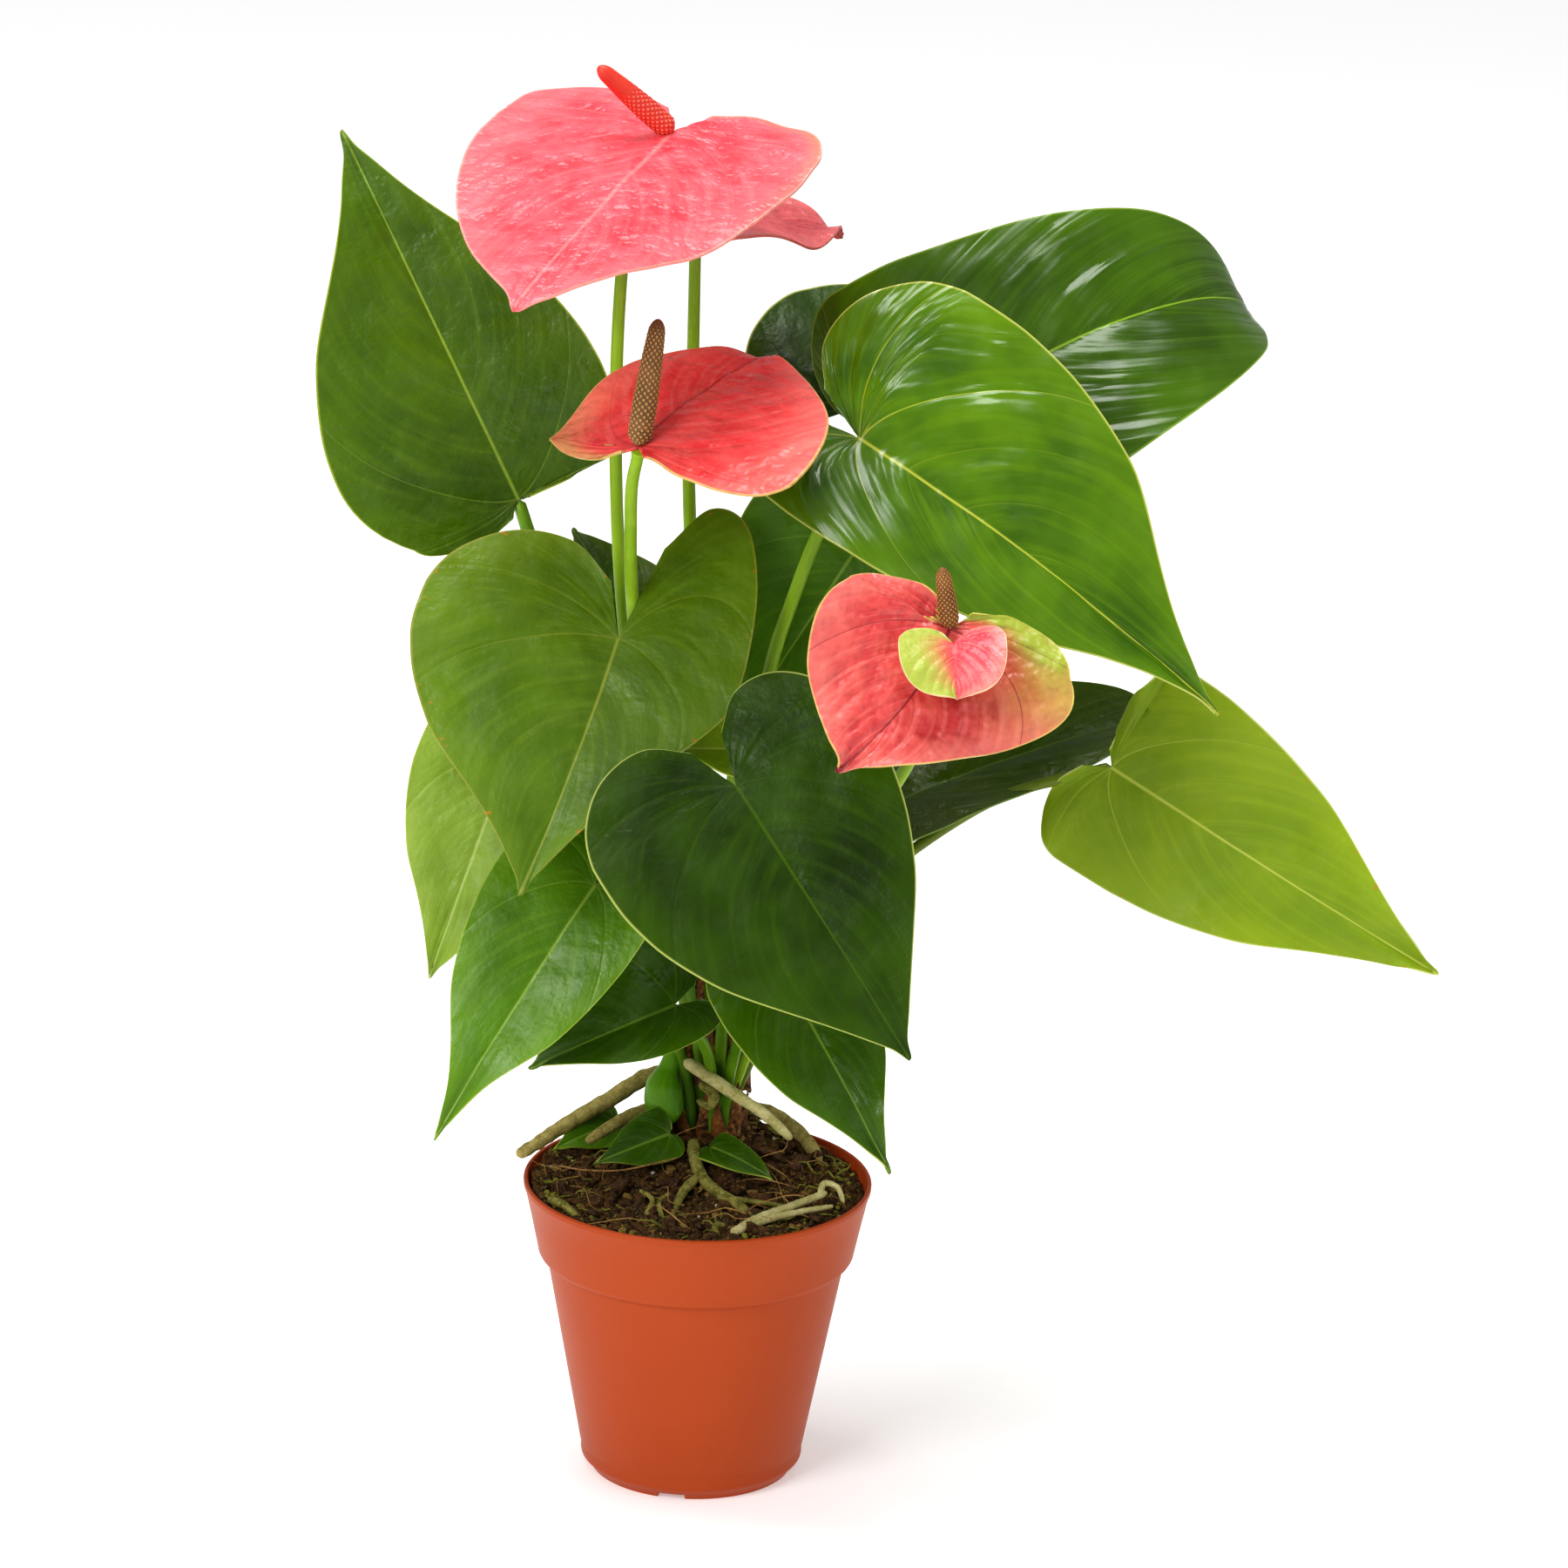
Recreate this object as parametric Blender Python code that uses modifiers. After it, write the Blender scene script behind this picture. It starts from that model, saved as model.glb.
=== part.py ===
"""A potted anthurium: a thin plastic nursery pot, its soil, and the plant as separate pieces.

Metres, +Z up. The origin is the centre of the pot's underside, where it rests, and the plant's
front looks along -Y. Places on the plant are in millimetres from the crown point, where the
stems come out of the soil, so the plant rides up and down with the pot.
"""
from math import cos, exp, pi, radians, sin, sqrt, tan

import bmesh
import bpy
from mathutils import Matrix, Vector

MM = 0.001
GAP = 0.3 * MM  # between pieces that touch

# Pot
POT_HEIGHT = 92 * MM
RIM_RADIUS = 52.5 * MM
WALL = 1.5 * MM
BAND_HEIGHT = 25 * MM  # the stacking band under the rim
BAND_STEP = 3.0 * MM  # how far the band stands out from the body under it
BAND_DRAFT = 4.6 * MM  # how much the band narrows from the rim down
BASE_RADIUS = 33.6 * MM  # where the body meets the base
CORNER_HEIGHT = 7.5 * MM
FOOT_RADIUS = 30.5 * MM
FOOT_WIDTH = 2.2 * MM
FOOT_HEIGHT = 2.4 * MM
HUB_RADIUS = 9 * MM  # flat disc in the middle of the underside, level with the foot
POT_STEPS = 48

# Drainage
HOLE_COUNT = 8
HOLE_RADIUS = 3.2 * MM
HOLE_RING = 19.5 * MM
NOTCH_COUNT = 4
NOTCH_WIDTH = 8.4 * MM
NOTCH_HEIGHT = 1.8 * MM
NOTCH_START = -100  # degrees about Z of the first notch

# Soil and crown
SOIL_DROP = 4.5 * MM  # soil edge below the rim
CROWN_X, CROWN_Y = 3 * MM, 22 * MM
MOUND = 13 * MM  # how far the soil heaps up round the crown
MOUND_SPREAD = 30 * MM
SOIL_STEPS = 28
CROWN_RADIUS = 13.5 * MM
CROWN_HEIGHT = 14 * MM
CROWN_CLEARANCE = 1.8 * MM  # under the stalks, which leave the crown at a slant

# Plant
BLADE = 0.8 * MM  # thickness of a leaf blade
SPATHE = 1.0 * MM
PETIOLE_RADIUS = 1.6 * MM
STALK_RADIUS = 1.9 * MM
BASAL_RADIUS = 1.0 * MM
SPADIX_RADIUS = 3.4 * MM
STEM_POINTS, ROOT_POINTS = 10, 7
BLADE_ROWS, BLADE_COLUMNS = 11, 3
RIB_START = 0.40  # share of the outline whose veins all fan from the stalk end
TRIM_REACH = 0.12  # how far up the blade its trimmed shoulders reach
SPINE_STEPS = 16  # a midrib's bend is added up in this many steps
CUP = 0.45  # share of the fold that is lost by the margin

GREEN = (0.06, 0.19, 0.02)
LIME = (0.22, 0.36, 0.03)
PINK = (0.80, 0.12, 0.13)
OLIVE = (0.27, 0.38, 0.05)
KHAKI = (0.44, 0.36, 0.13)
TERRACOTTA = (0.58, 0.11, 0.035)
SOIL_BROWN = (0.025, 0.012, 0.006)
BARK_BROWN = (0.16, 0.06, 0.02)
LEAF_COLOURS = {"far_right": LIME, "young": LIME}
SPADIX_COLOURS = {
    "top": (0.70, 0.10, 0.04), "back": (0.45, 0.16, 0.05),
    "middle": (0.22, 0.13, 0.04), "right": (0.40, 0.20, 0.06),
}

# Half outlines from the sinus round to the tip: across in half widths, along in blade lengths
# ahead of the stalk and in lobe lengths behind it
LEAF_OUTLINE = (
    (0.12, -0.64), (0.36, -0.98), (0.66, -0.92), (0.90, -0.50), (1.0, 0.04), (0.95, 0.27),
    (0.77, 0.48), (0.49, 0.69), (0.20, 0.87), (0.06, 0.955), (0.0, 1.0),
)
SPATHE_OUTLINE = (
    (0.12, -0.60), (0.42, -1.0), (0.78, -0.82), (1.0, -0.20), (1.0, 0.22),
    (0.84, 0.48), (0.58, 0.70), (0.30, 0.86), (0.09, 0.95), (0.0, 1.0),
)

# Along a spadix: share of its height and of its radius
SPADIX_TAPER = ((0, 0.72), (0.08, 0.96), (0.35, 1.0), (0.7, 0.8), (0.92, 0.58), (1.0, 0.3))

# Each blade, by name. base and tip are its stalk end and its tip, in mm from the crown point.
# face is the way its upper side looks. wide and lobes are its half widths and lobe lengths in mm,
# right then left, seen from that side with the tip up. arch bends it away from its face evenly
# along its length and hook only towards the tip, fold lifts the halves from the midrib and sway
# curves the midrib sideways, all in degrees. trim is the share cut from its shoulders. root is
# where its stalk leaves the crown, and via the places that the stalk passes through.
LEAVES = {
    "upper_left": dict(
        base=(-62, 21, 190), tip=(-117, 43, 296), face=(0.1, -1, 0.2), wide=(45, 49),
        lobes=(3, 2), arch=10, fold=8, trim=0.25, root=(-7, 2), via=((-38, 6, 120),)),
    "front_left": dict(
        base=(-30, -35, 164), tip=(-56, -77, 99), face=(-0.1, -1, 0.5), wide=(56, 45),
        lobes=(26, 46), arch=14, fold=8, sway=4, root=(-2.3, -6), via=((-14, -18, 90),)),
    "front_middle": dict(
        base=(6, -71, 134), tip=(58, -103, 63), face=(0.1, -1, 0.45), wide=(49, 42),
        lobes=(24, 25), arch=14, fold=6, root=(2.3, -6), via=((4, -24, 60), (5, -50, 108))),
    "upper_right": dict(
        base=(39, -17, 222), tip=(146, -47, 150), face=(-0.1, -0.65, 0.8), wide=(36, 56),
        lobes=(46, 27), arch=22, fold=14, root=(4.5, -2), via=((12, -10, 130), (22, -15, 176))),
    "back_middle": dict(
        base=(43, 58, 213), tip=(82, 100, 229), face=(-0.1, -0.9, 0.8), wide=(30, 39),
        lobes=(14, 20), arch=16, fold=8, root=(4.5, 6), via=((22, 32, 110),)),
    "top_right": dict(
        base=(52, 32, 212), tip=(156, 78, 231), face=(-0.1, -0.8, 0.6), wide=(46, 51),
        lobes=(16, 16), arch=16, hook=120, fold=6, root=(9, 6), via=((30, 22, 112), (42, 34, 168))),
    "far_right": dict(
        base=(117, -10, 121), tip=(215, -37, 68), face=(-0.1, -1, 0.2), wide=(32, 37),
        lobes=(8, 4), arch=10, fold=6, root=(9, -2), via=((34, -2, 66), (78, -6, 106))),
    "right_behind": dict(
        base=(48, -4, 104), tip=(129, 22, 132), face=(0, -0.45, 1), wide=(16, 26),
        lobes=(12, 14), arch=14, fold=10, root=(7, 2), via=((26, 4, 66),)),
    "middle_behind": dict(
        base=(40, 3, 184), tip=(6, 2, 127), face=(0, -1, 0.3), wide=(34, 34),
        lobes=(14, 14), arch=14, fold=8, root=(2.3, 2), via=((22, 14, 100),)),
    "small_behind": dict(
        base=(-24, 34, 141), tip=(-46, 46, 174), face=(0.1, -1, 0.3), wide=(20, 20),
        lobes=(12, 12), arch=14, fold=10, root=(-4.5, 6), via=((-14, 16, 80),)),
    "lower_left": dict(
        base=(-61, -17, 122), tip=(-84, -37, 58), face=(-0.2, -1, 0.3), wide=(22, 34),
        lobes=(18, 20), arch=14, fold=8, root=(-9, -2), via=((-34, -4, 84),)),
    "low_left": dict(
        base=(-35, -47, 92), tip=(-80, -77, 22), face=(-0.2, -1, 0.4), wide=(28, 22),
        lobes=(18, 14), arch=20, fold=10, root=(-7, -6), via=((-16, -12, 50), (-24, -20, 80))),
    "low_left_behind": dict(
        base=(-49, -4, 82), tip=(-71, -8, 57), face=(-0.2, -1, 0.4), wide=(14, 16),
        lobes=(10, 10), arch=14, fold=8, root=(-11, 2), via=((-28, 6, 54),)),
    "low_middle": dict(
        base=(-11, -32, 50), tip=(-53, -54, 37), face=(0, -1, 0.5), wide=(26, 12),
        lobes=(18, 14), arch=18, fold=8, root=(0.5, -10), via=((-2, -22, 34),)),
    "low_right": dict(
        base=(20, -37, 64), tip=(54, -67, 12), face=(0.2, -1, 0.5), wide=(24, 22),
        lobes=(12, 12), arch=18, fold=10, root=(5, -10), via=((10, -24, 42),)),
    "young": dict(
        base=(4, -22, 124), tip=(-19, -42, 136), face=(0, -0.7, 1), wide=(12, 12),
        lobes=(6, 6), arch=14, fold=12, root=(0, -2), via=((2, -6, 60),)),
    "basal_front": dict(
        base=(-12, -19, 4), tip=(-34, -27, -3), face=(0, -1, 0.7), wide=(12, 8),
        lobes=(4, 4), arch=14, fold=8, root=(-12, -16), via=()),
    "basal_left": dict(
        base=(-29, 0, 0), tip=(-47, -14, -4), face=(0, -1, 0.8), wide=(9, 7),
        lobes=(3, 3), arch=14, fold=8, root=(-25, 4), via=()),
    "basal_right": dict(
        base=(1, -21, 1), tip=(20, -35, -4), face=(0, -0.4, 1), wide=(7, 7),
        lobes=(2, 2), arch=20, fold=8, root=(1, -17), via=()),
}
BASAL = ("basal_front", "basal_left", "basal_right")  # young leaves that come out of the soil

FLOWERS = {
    "top": dict(
        base=(-18, 3, 307), tip=(-60, -89, 277), face=(-0.1, -0.35, 1), wide=(54, 47),
        lobes=(4, 24), arch=8, fold=-4, root=(-2.3, 2), via=((-29, 5, 154), (-32, 11, 267)),
        spadix=(-22, -5, 20)),
    "back": dict(
        base=(-11, 33, 273), tip=(32, 55, 263), face=(0, 0.05, 1), wide=(32, 32),
        lobes=(18, 18), arch=8, fold=12, root=(0, 6), via=((-11, 25, 190), (-11, 31, 237)),
        spadix=(-3, 3, 19)),
    "middle": dict(
        base=(-25, -47, 226), tip=(12, 11, 239), face=(-0.1, -0.35, 1), wide=(54, 30),
        lobes=(14, 8), arch=24, fold=4, root=(-4.5, -2), via=((-24, -20, 150), (-27, -38, 204)),
        spadix=(5, 5, 36)),
    "right": dict(
        base=(66, -77, 183), tip=(35, -103, 148), face=(0.1, -1, 0.5), wide=(38, 39),
        lobes=(8, 14), arch=10, fold=4, root=(7, -6), via=((30, -24, 80), (58, -56, 140)),
        spadix=(-3, 0, 17)),
}
SMALL_SPATHE = dict(
    base=(68, -88, 178), tip=(68, -101, 166), face=(0, -1, 0.6), wide=(16, 15),
    lobes=(5, 5), arch=10, fold=12)

# Roots over the soil: the places they pass through, in mm from the crown point in a pot whose
# soil reaches ROOT_REACH from the middle, and how thick they are, in mm
ROOT_REACH = 50.172 * MM
ROOTS = {
    "long": (((-18, 6, 8), (-28, 6, 11), (-42, 3, 8), (-51, -8, 0), (-58, -14, -4)), 2.3),
    "stub": (((-17, -5, 5), (-26, -10, 4), (-37, -17, 1)), 2.5),
    "pointed": (((-1, -17, 17), (10, -20, 11), (24, -20, 5)), 2.0),
    "forked": (((-5, -22, -1), (-3, -31, -5), (5, -38, -7), (15, -45, -8.5)), 1.9),
    "branch": (((-8, -32, -5), (-12, -40, -8), (-10, -50, -9)), 1.5),
    "pale": (((8, -62, -9), (20, -54, -8), (34, -40, -6)), 1.7),
}


def reset():
    """Clears the scene and returns the collections for the plant and for its cutters."""
    for leftover in list(bpy.data.objects):
        bpy.data.objects.remove(leftover, do_unlink=True)
    plant = bpy.data.collections.new("potted_anthurium")
    cutters = bpy.data.collections.new("cutters")
    for made in (plant, cutters):
        bpy.context.scene.collection.children.link(made)
    return plant, cutters


def material(name, colour, roughness):
    """A plain Principled material; nothing on the plant or its pot is metal."""
    made = bpy.data.materials.new(name)
    made.use_nodes = True
    shader = made.node_tree.nodes["Principled BSDF"]
    shader.inputs["Base Color"].default_value = (*colour, 1)
    shader.inputs["Roughness"].default_value = roughness
    shader.inputs["Metallic"].default_value = 0.0
    return made


def add(name, data, collection, finish):
    """A named piece of the given mesh or curve, in its collection and material."""
    made = bpy.data.objects.new(name, data)
    collection.objects.link(made)
    data.materials.append(finish)
    if isinstance(data, bpy.types.Mesh):
        for face in data.polygons:
            face.use_smooth = True
    return made


def turned(name, profile, steps, collection, finish):
    """A piece turned about Z from a profile of (radius, height) that runs down its outer side."""
    mesh = bpy.data.meshes.new(name)
    edges = [(i, i + 1) for i in range(len(profile) - 1)]
    mesh.from_pydata([(r, 0, z) for r, z in profile], edges, [])
    made = add(name, mesh, collection, finish)
    screw = made.modifiers.new("turn", "SCREW")
    screw.steps = screw.render_steps = steps
    screw.use_merge_vertices = True
    screw.merge_threshold = 0.01 * MM
    screw.use_smooth_shade = True
    return made


def tube(name, points, radii, collection, finish):
    """A round stem through points, as thick at each as radii says."""
    curve = bpy.data.curves.new(name, "CURVE")
    curve.dimensions = "3D"
    curve.bevel_depth = 1.0
    curve.bevel_resolution = 1
    curve.use_fill_caps = True
    spline = curve.splines.new("POLY")
    spline.points.add(len(points) - 1)
    for knot, place, radius in zip(spline.points, points, radii):
        knot.co = (*place, 1)
        knot.radius = radius
    return add(name, curve, collection, finish)


def smooth_path(knots, count, before=None):
    """count + 1 points on a smooth curve through the knots, setting out as if from before."""
    before = before or knots[0] * 2 - knots[1]
    ends = [before, *knots, knots[-1] * 2 - knots[-2]]
    path = []
    for i in range(count + 1):
        place = i / count * (len(knots) - 1)
        k = min(int(place), len(knots) - 2)
        path.append(spline_point(ends[k:k + 4], place - k))
    return path


def spline_point(p, u):
    """The point a share u of the way from p[1] to p[2] on a smooth curve through four knots."""
    return 0.5 * (
        2 * p[1] + (p[2] - p[0]) * u
        + (2 * p[0] - 5 * p[1] + 4 * p[2] - p[3]) * u ** 2
        + (3 * p[1] - p[0] - 3 * p[2] + p[3]) * u ** 3
    )


def outline_at(outline, t):
    """The place on a half outline at t, from 0 in the sinus to 1 at the tip."""
    place = t * (len(outline) - 1)
    k = min(int(place), len(outline) - 2)
    knots = [Vector(p) for p in outline]
    ends = [knots[0] * 2 - knots[1], *knots, Vector((-knots[-2].x, knots[-2].y))]
    return spline_point(ends[k:k + 4], place - k)


class Blade:
    """The curved surface of one leaf or spathe, and its place on the plant."""

    def __init__(self, crown, outline, base, tip, face, wide, lobes, arch, fold,
                 sway=0, hook=0, trim=0, **stalk):
        self.outline = outline
        self.base = crown + Vector(base) * MM
        self.tip = crown + Vector(tip) * MM
        self.wide = [w * MM for w in wide]
        self.lobes = [n * MM for n in lobes]
        self.arch, self.hook = radians(arch), radians(hook)
        self.fold, self.sway = radians(fold), radians(sway)
        self.trim = trim
        chord = self.tip - self.base
        self.length = chord.length
        self.length *= chord.length / self.bent(0, 1).length
        own = self.bent(0, 1)
        self.turn = frame(chord, Vector(face)) @ frame(own, Vector((0, 0, 1))).transposed()
        self.normal = self.turn @ Vector((0, 0, 1))

    def bent(self, x, y):
        """Takes a flat place (x in m, y in shares of the length) to the bent blade."""
        turn = self.turn_at(y)
        reach = self.length * y
        step = reach / SPINE_STEPS
        run = drop = 0.0
        for i in range(SPINE_STEPS):
            slope = self.turn_at(y * (i + 0.5) / SPINE_STEPS)
            run += step * cos(slope)
            drop -= step * sin(slope)
        half = self.wide[0 if x > 0 else 1]
        lift = tan(self.fold) * abs(x) * (1 - CUP * abs(x) / half)
        across = x + tan(self.sway) * max(reach, 0) ** 2 / self.length
        return Vector((across, run + lift * sin(turn), drop + lift * cos(turn)))

    def turn_at(self, y):
        """How far the midrib has bent down at y: evenly, then more and more towards the tip."""
        return self.arch * y + self.hook * max(y, 0) ** 3

    def at(self, t, a):
        """The world point at t along the outline and a across, -1 to 1."""
        side = 0 if a > 0 else 1
        edge = abs(a)
        rib = max(0.0, (t - RIB_START) / (1 - RIB_START)) ** 1.15
        rim = outline_at(self.outline, t)
        x = rim.x * edge * self.wide[side] * (1 if a > 0 else -1)
        x *= 1 - self.trim * exp(-max(rim.y, 0) / TRIM_REACH)
        y = rib + (rim.y - rib) * edge
        if y < 0:
            y *= self.lobes[side] / self.length
        return self.base + self.turn @ self.bent(x, y)


def frame(along, up):
    """A rotation whose Y is along and whose Z is as near up as it can be."""
    y = along.normalized()
    z = (up - y * up.dot(y)).normalized()
    return Matrix((y.cross(z), y, z)).transposed()


def blade_piece(name, blade, thickness, collection, finish):
    """A grid, drawn out to the blade's outline and bends, and thickened."""
    shape = bmesh.new()
    bmesh.ops.create_grid(shape, x_segments=2 * BLADE_COLUMNS, y_segments=BLADE_ROWS, size=1)
    for corner in shape.verts:
        corner.co = blade.at((corner.co.y + 1) / 2, corner.co.x)
    bmesh.ops.remove_doubles(shape, verts=shape.verts, dist=0.02 * MM)
    mesh = bpy.data.meshes.new(name)
    shape.to_mesh(mesh)
    shape.free()
    made = add(name, mesh, collection, finish)
    skin = made.modifiers.new("thickness", "SOLIDIFY")
    skin.thickness = thickness
    skin.offset = 0
    return made


def soil_height(x, y):
    """How far the soil stands over its edge at a place."""
    off = sqrt((x - CROWN_X) ** 2 + (y - CROWN_Y) ** 2)
    return MOUND * exp(-((off / MOUND_SPREAD) ** 2))


def inner_radius(height):
    """The inside radius of the pot's body and band at a height."""
    band_bottom = POT_HEIGHT - BAND_HEIGHT
    if height > band_bottom:
        share = (POT_HEIGHT - height) / BAND_HEIGHT
        return RIM_RADIUS - WALL - BAND_DRAFT * share
    neck = RIM_RADIUS - BAND_DRAFT - BAND_STEP
    share = (band_bottom - height) / (band_bottom - CORNER_HEIGHT)
    return neck - WALL - (neck - BASE_RADIUS) * share


def build_pot(plant, cutters):
    """The pot turned as one thin shell, with drainage holes and notches cut in its foot."""
    band_foot = POT_HEIGHT - BAND_HEIGHT
    band_low = RIM_RADIUS - BAND_DRAFT
    neck = band_low - BAND_STEP
    floor_top = FOOT_HEIGHT + WALL
    profile = (
        (RIM_RADIUS - 0.5 * MM, POT_HEIGHT),
        (RIM_RADIUS, POT_HEIGHT - 0.6 * MM),
        (RIM_RADIUS - 0.2 * MM, POT_HEIGHT - 2.2 * MM),
        (band_low + 0.3 * MM, band_foot + 5 * MM),
        (band_low - 0.9 * MM, band_foot + 2.2 * MM),
        (neck, band_foot),
        (BASE_RADIUS, CORNER_HEIGHT),
        (BASE_RADIUS - 0.8 * MM, FOOT_HEIGHT + 1.6 * MM),
        (FOOT_RADIUS + 0.6 * MM, FOOT_HEIGHT - 0.8 * MM),
        (FOOT_RADIUS, 0),
        (FOOT_RADIUS - FOOT_WIDTH, 0),
        (FOOT_RADIUS - FOOT_WIDTH - 0.4 * MM, FOOT_HEIGHT),
        (HUB_RADIUS + 0.6 * MM, FOOT_HEIGHT),
        (HUB_RADIUS, 0),
        (0, 0),
    )
    inside = (
        (0, floor_top),
        (BASE_RADIUS - WALL - 2.5 * MM, floor_top),
        (BASE_RADIUS - WALL - 0.2 * MM, CORNER_HEIGHT + 0.5 * MM),
        (neck - WALL, band_foot + 0.4 * MM),
        (band_low - 0.9 * MM - WALL, band_foot + 2.9 * MM),
        (band_low + 0.3 * MM - WALL, band_foot + 5.4 * MM),
        (RIM_RADIUS - WALL, POT_HEIGHT - 1.0 * MM),
        (RIM_RADIUS - 0.5 * MM, POT_HEIGHT),
    )
    finish = material("pot_plastic", TERRACOTTA, 0.55)
    pot = turned("pot", profile + inside, POT_STEPS, plant, finish)
    for i in range(HOLE_COUNT):
        turn = 2 * pi * (i + 0.5) / HOLE_COUNT
        bpy.ops.mesh.primitive_cylinder_add(
            vertices=12, radius=HOLE_RADIUS, depth=4 * floor_top,
            location=(HOLE_RING * cos(turn), HOLE_RING * sin(turn), 0))
        cut(pot, "hole", cutters)
    for i in range(NOTCH_COUNT):
        turn = radians(NOTCH_START + 360 * i / NOTCH_COUNT)
        bpy.ops.mesh.primitive_cube_add(
            size=1, location=(FOOT_RADIUS * cos(turn), FOOT_RADIUS * sin(turn), 0),
            rotation=(0, 0, turn), scale=(5 * FOOT_WIDTH, NOTCH_WIDTH, 2 * NOTCH_HEIGHT))
        cut(pot, "notch", cutters)


def cut(target, name, cutters):
    """Cuts the active object out of target and files it with the cutters."""
    cutter = bpy.context.object
    cutter.name = name + "_cutter"
    for holder in list(cutter.users_collection):
        holder.objects.unlink(cutter)
    cutters.objects.link(cutter)
    cutter.hide_render = True
    cutter.display_type = "WIRE"
    modifier = target.modifiers.new(name, "BOOLEAN")
    modifier.operation = "DIFFERENCE"
    modifier.solver = "EXACT"
    modifier.object = cutter


def build_soil(plant):
    """Soil turned to the inside of the pot, then heaped up towards the crown."""
    edge = POT_HEIGHT - SOIL_DROP
    band_foot = POT_HEIGHT - BAND_HEIGHT
    floor_top = FOOT_HEIGHT + WALL + GAP
    neck = RIM_RADIUS - BAND_DRAFT - BAND_STEP
    rings = 6
    edge_radius = inner_radius(edge) - 1.5 * GAP
    profile = [(edge_radius * i / rings, edge) for i in range(rings + 1)]
    profile += [
        (RIM_RADIUS - BAND_DRAFT + 0.3 * MM - WALL - GAP * 2, band_foot + 5.4 * MM),
        (neck - WALL - 1.5 * GAP, band_foot + 0.8 * MM),
        (BASE_RADIUS - WALL - 2 * GAP, CORNER_HEIGHT + 0.8 * MM),
        (BASE_RADIUS - WALL - 2.5 * MM - GAP, floor_top),
        (0, floor_top),
    ]
    soil = turned("soil", profile, SOIL_STEPS, plant, material("potting_soil", SOIL_BROWN, 0.95))
    shape = bpy.data.meshes.new_from_object(soil.evaluated_get(bpy.context.evaluated_depsgraph_get()))
    soil.modifiers.clear()
    for corner in shape.vertices:
        if corner.co.z > edge - 0.1 * MM:
            x, y = corner.co.x, corner.co.y
            rim = 1 - (sqrt(x * x + y * y) / edge_radius) ** 6
            corner.co.z += soil_height(x, y) * rim + 0.5 * MM * sin(x * 400) * sin(y * 330) * rim
    soil.data = shape


def crown_point():
    """The middle of the stems, where they leave the soil."""
    return Vector((CROWN_X, CROWN_Y, POT_HEIGHT - SOIL_DROP + MOUND))


def build_crown(plant):
    """The short knobbly stem that every stalk grows from."""
    low = crown_point() + Vector((0, 0, 2 * GAP))
    profile = (
        (0, CROWN_HEIGHT), (CROWN_RADIUS * 0.8, CROWN_HEIGHT), (CROWN_RADIUS, CROWN_HEIGHT * 0.8),
        (CROWN_RADIUS * 0.94, CROWN_HEIGHT * 0.5), (CROWN_RADIUS, CROWN_HEIGHT * 0.3), (0, 0))
    crown = turned("crown_stem", profile, 16, plant, material("crown_bark", BARK_BROWN, 0.8))
    crown.location = low


def stem_path(blade, spec, thickness, radius, start):
    """The line of a stalk from where it starts to just behind its blade."""
    crown = crown_point()
    end = blade.base - blade.normal * (thickness / 2 + GAP + radius)
    knots = [start, *(crown + Vector(place) * MM for place in spec["via"]), end]
    before = knots[1] - Vector((0, 0, (knots[1] - start).length))
    return smooth_path(knots, STEM_POINTS - 1, before)


def stem_radii(radius):
    """Thick at the foot and a little thinner at the top."""
    return [radius * (1.1 - 0.25 * i / (STEM_POINTS - 1)) for i in range(STEM_POINTS)]


def crown_start(spec):
    """A place just over the crown, for a stalk that grows from it."""
    x, y = spec["root"]
    return crown_point() + Vector((x * MM, y * MM, CROWN_HEIGHT + CROWN_CLEARANCE))


def soil_start(spec, radius):
    """A place just over the soil, for a stalk that comes out of it."""
    place = crown_point() + Vector((*spec["root"], 0)) * MM
    place.z = POT_HEIGHT - SOIL_DROP + soil_height(place.x, place.y) + radius + 2 * GAP
    return place


def build_leaf(name, spec, plant, finish, stem_finish):
    """One leaf blade and its petiole."""
    if name in BASAL:
        spec = basal_spec(spec)
    blade = Blade(crown_point(), LEAF_OUTLINE, **spec)
    blade_piece("leaf_" + name, blade, BLADE, plant, finish)
    radius = BASAL_RADIUS if name in BASAL else PETIOLE_RADIUS
    start = soil_start(spec, radius) if name in BASAL else crown_start(spec)
    path = stem_path(blade, spec, BLADE, radius, start)
    tube("petiole_" + name, path, stem_radii(radius), plant, stem_finish)


def build_flower(name, spec, plant, finish, stem_finish, spadix_finish):
    """One flower: its bract, the stalk under it and the spadix that stands on it."""
    blade = Blade(crown_point(), SPATHE_OUTLINE, **spec)
    blade_piece("spathe_" + name, blade, SPATHE, plant, finish)
    path = stem_path(blade, spec, SPATHE, STALK_RADIUS, crown_start(spec))
    tube("stalk_" + name, path, stem_radii(STALK_RADIUS), plant, stem_finish)
    foot = blade.base + blade.normal * (SPATHE / 2 + 2 * GAP + SPADIX_RADIUS)
    rise = Vector(spec["spadix"]) * MM
    places = [foot + rise * share for share, _ in SPADIX_TAPER]
    radii = [SPADIX_RADIUS * size for _, size in SPADIX_TAPER]
    tube("spadix_" + name, places, radii, plant, spadix_finish)


def build_small_spathe(plant, finish):
    """The small second bract in front of the right flower."""
    blade = Blade(crown_point(), SPATHE_OUTLINE, **SMALL_SPATHE)
    blade_piece("small_spathe", blade, SPATHE, plant, finish)


def soil_stretch():
    """How much wider the soil is than where the places of the roots were taken."""
    return inner_radius(POT_HEIGHT - SOIL_DROP) / ROOT_REACH


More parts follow.
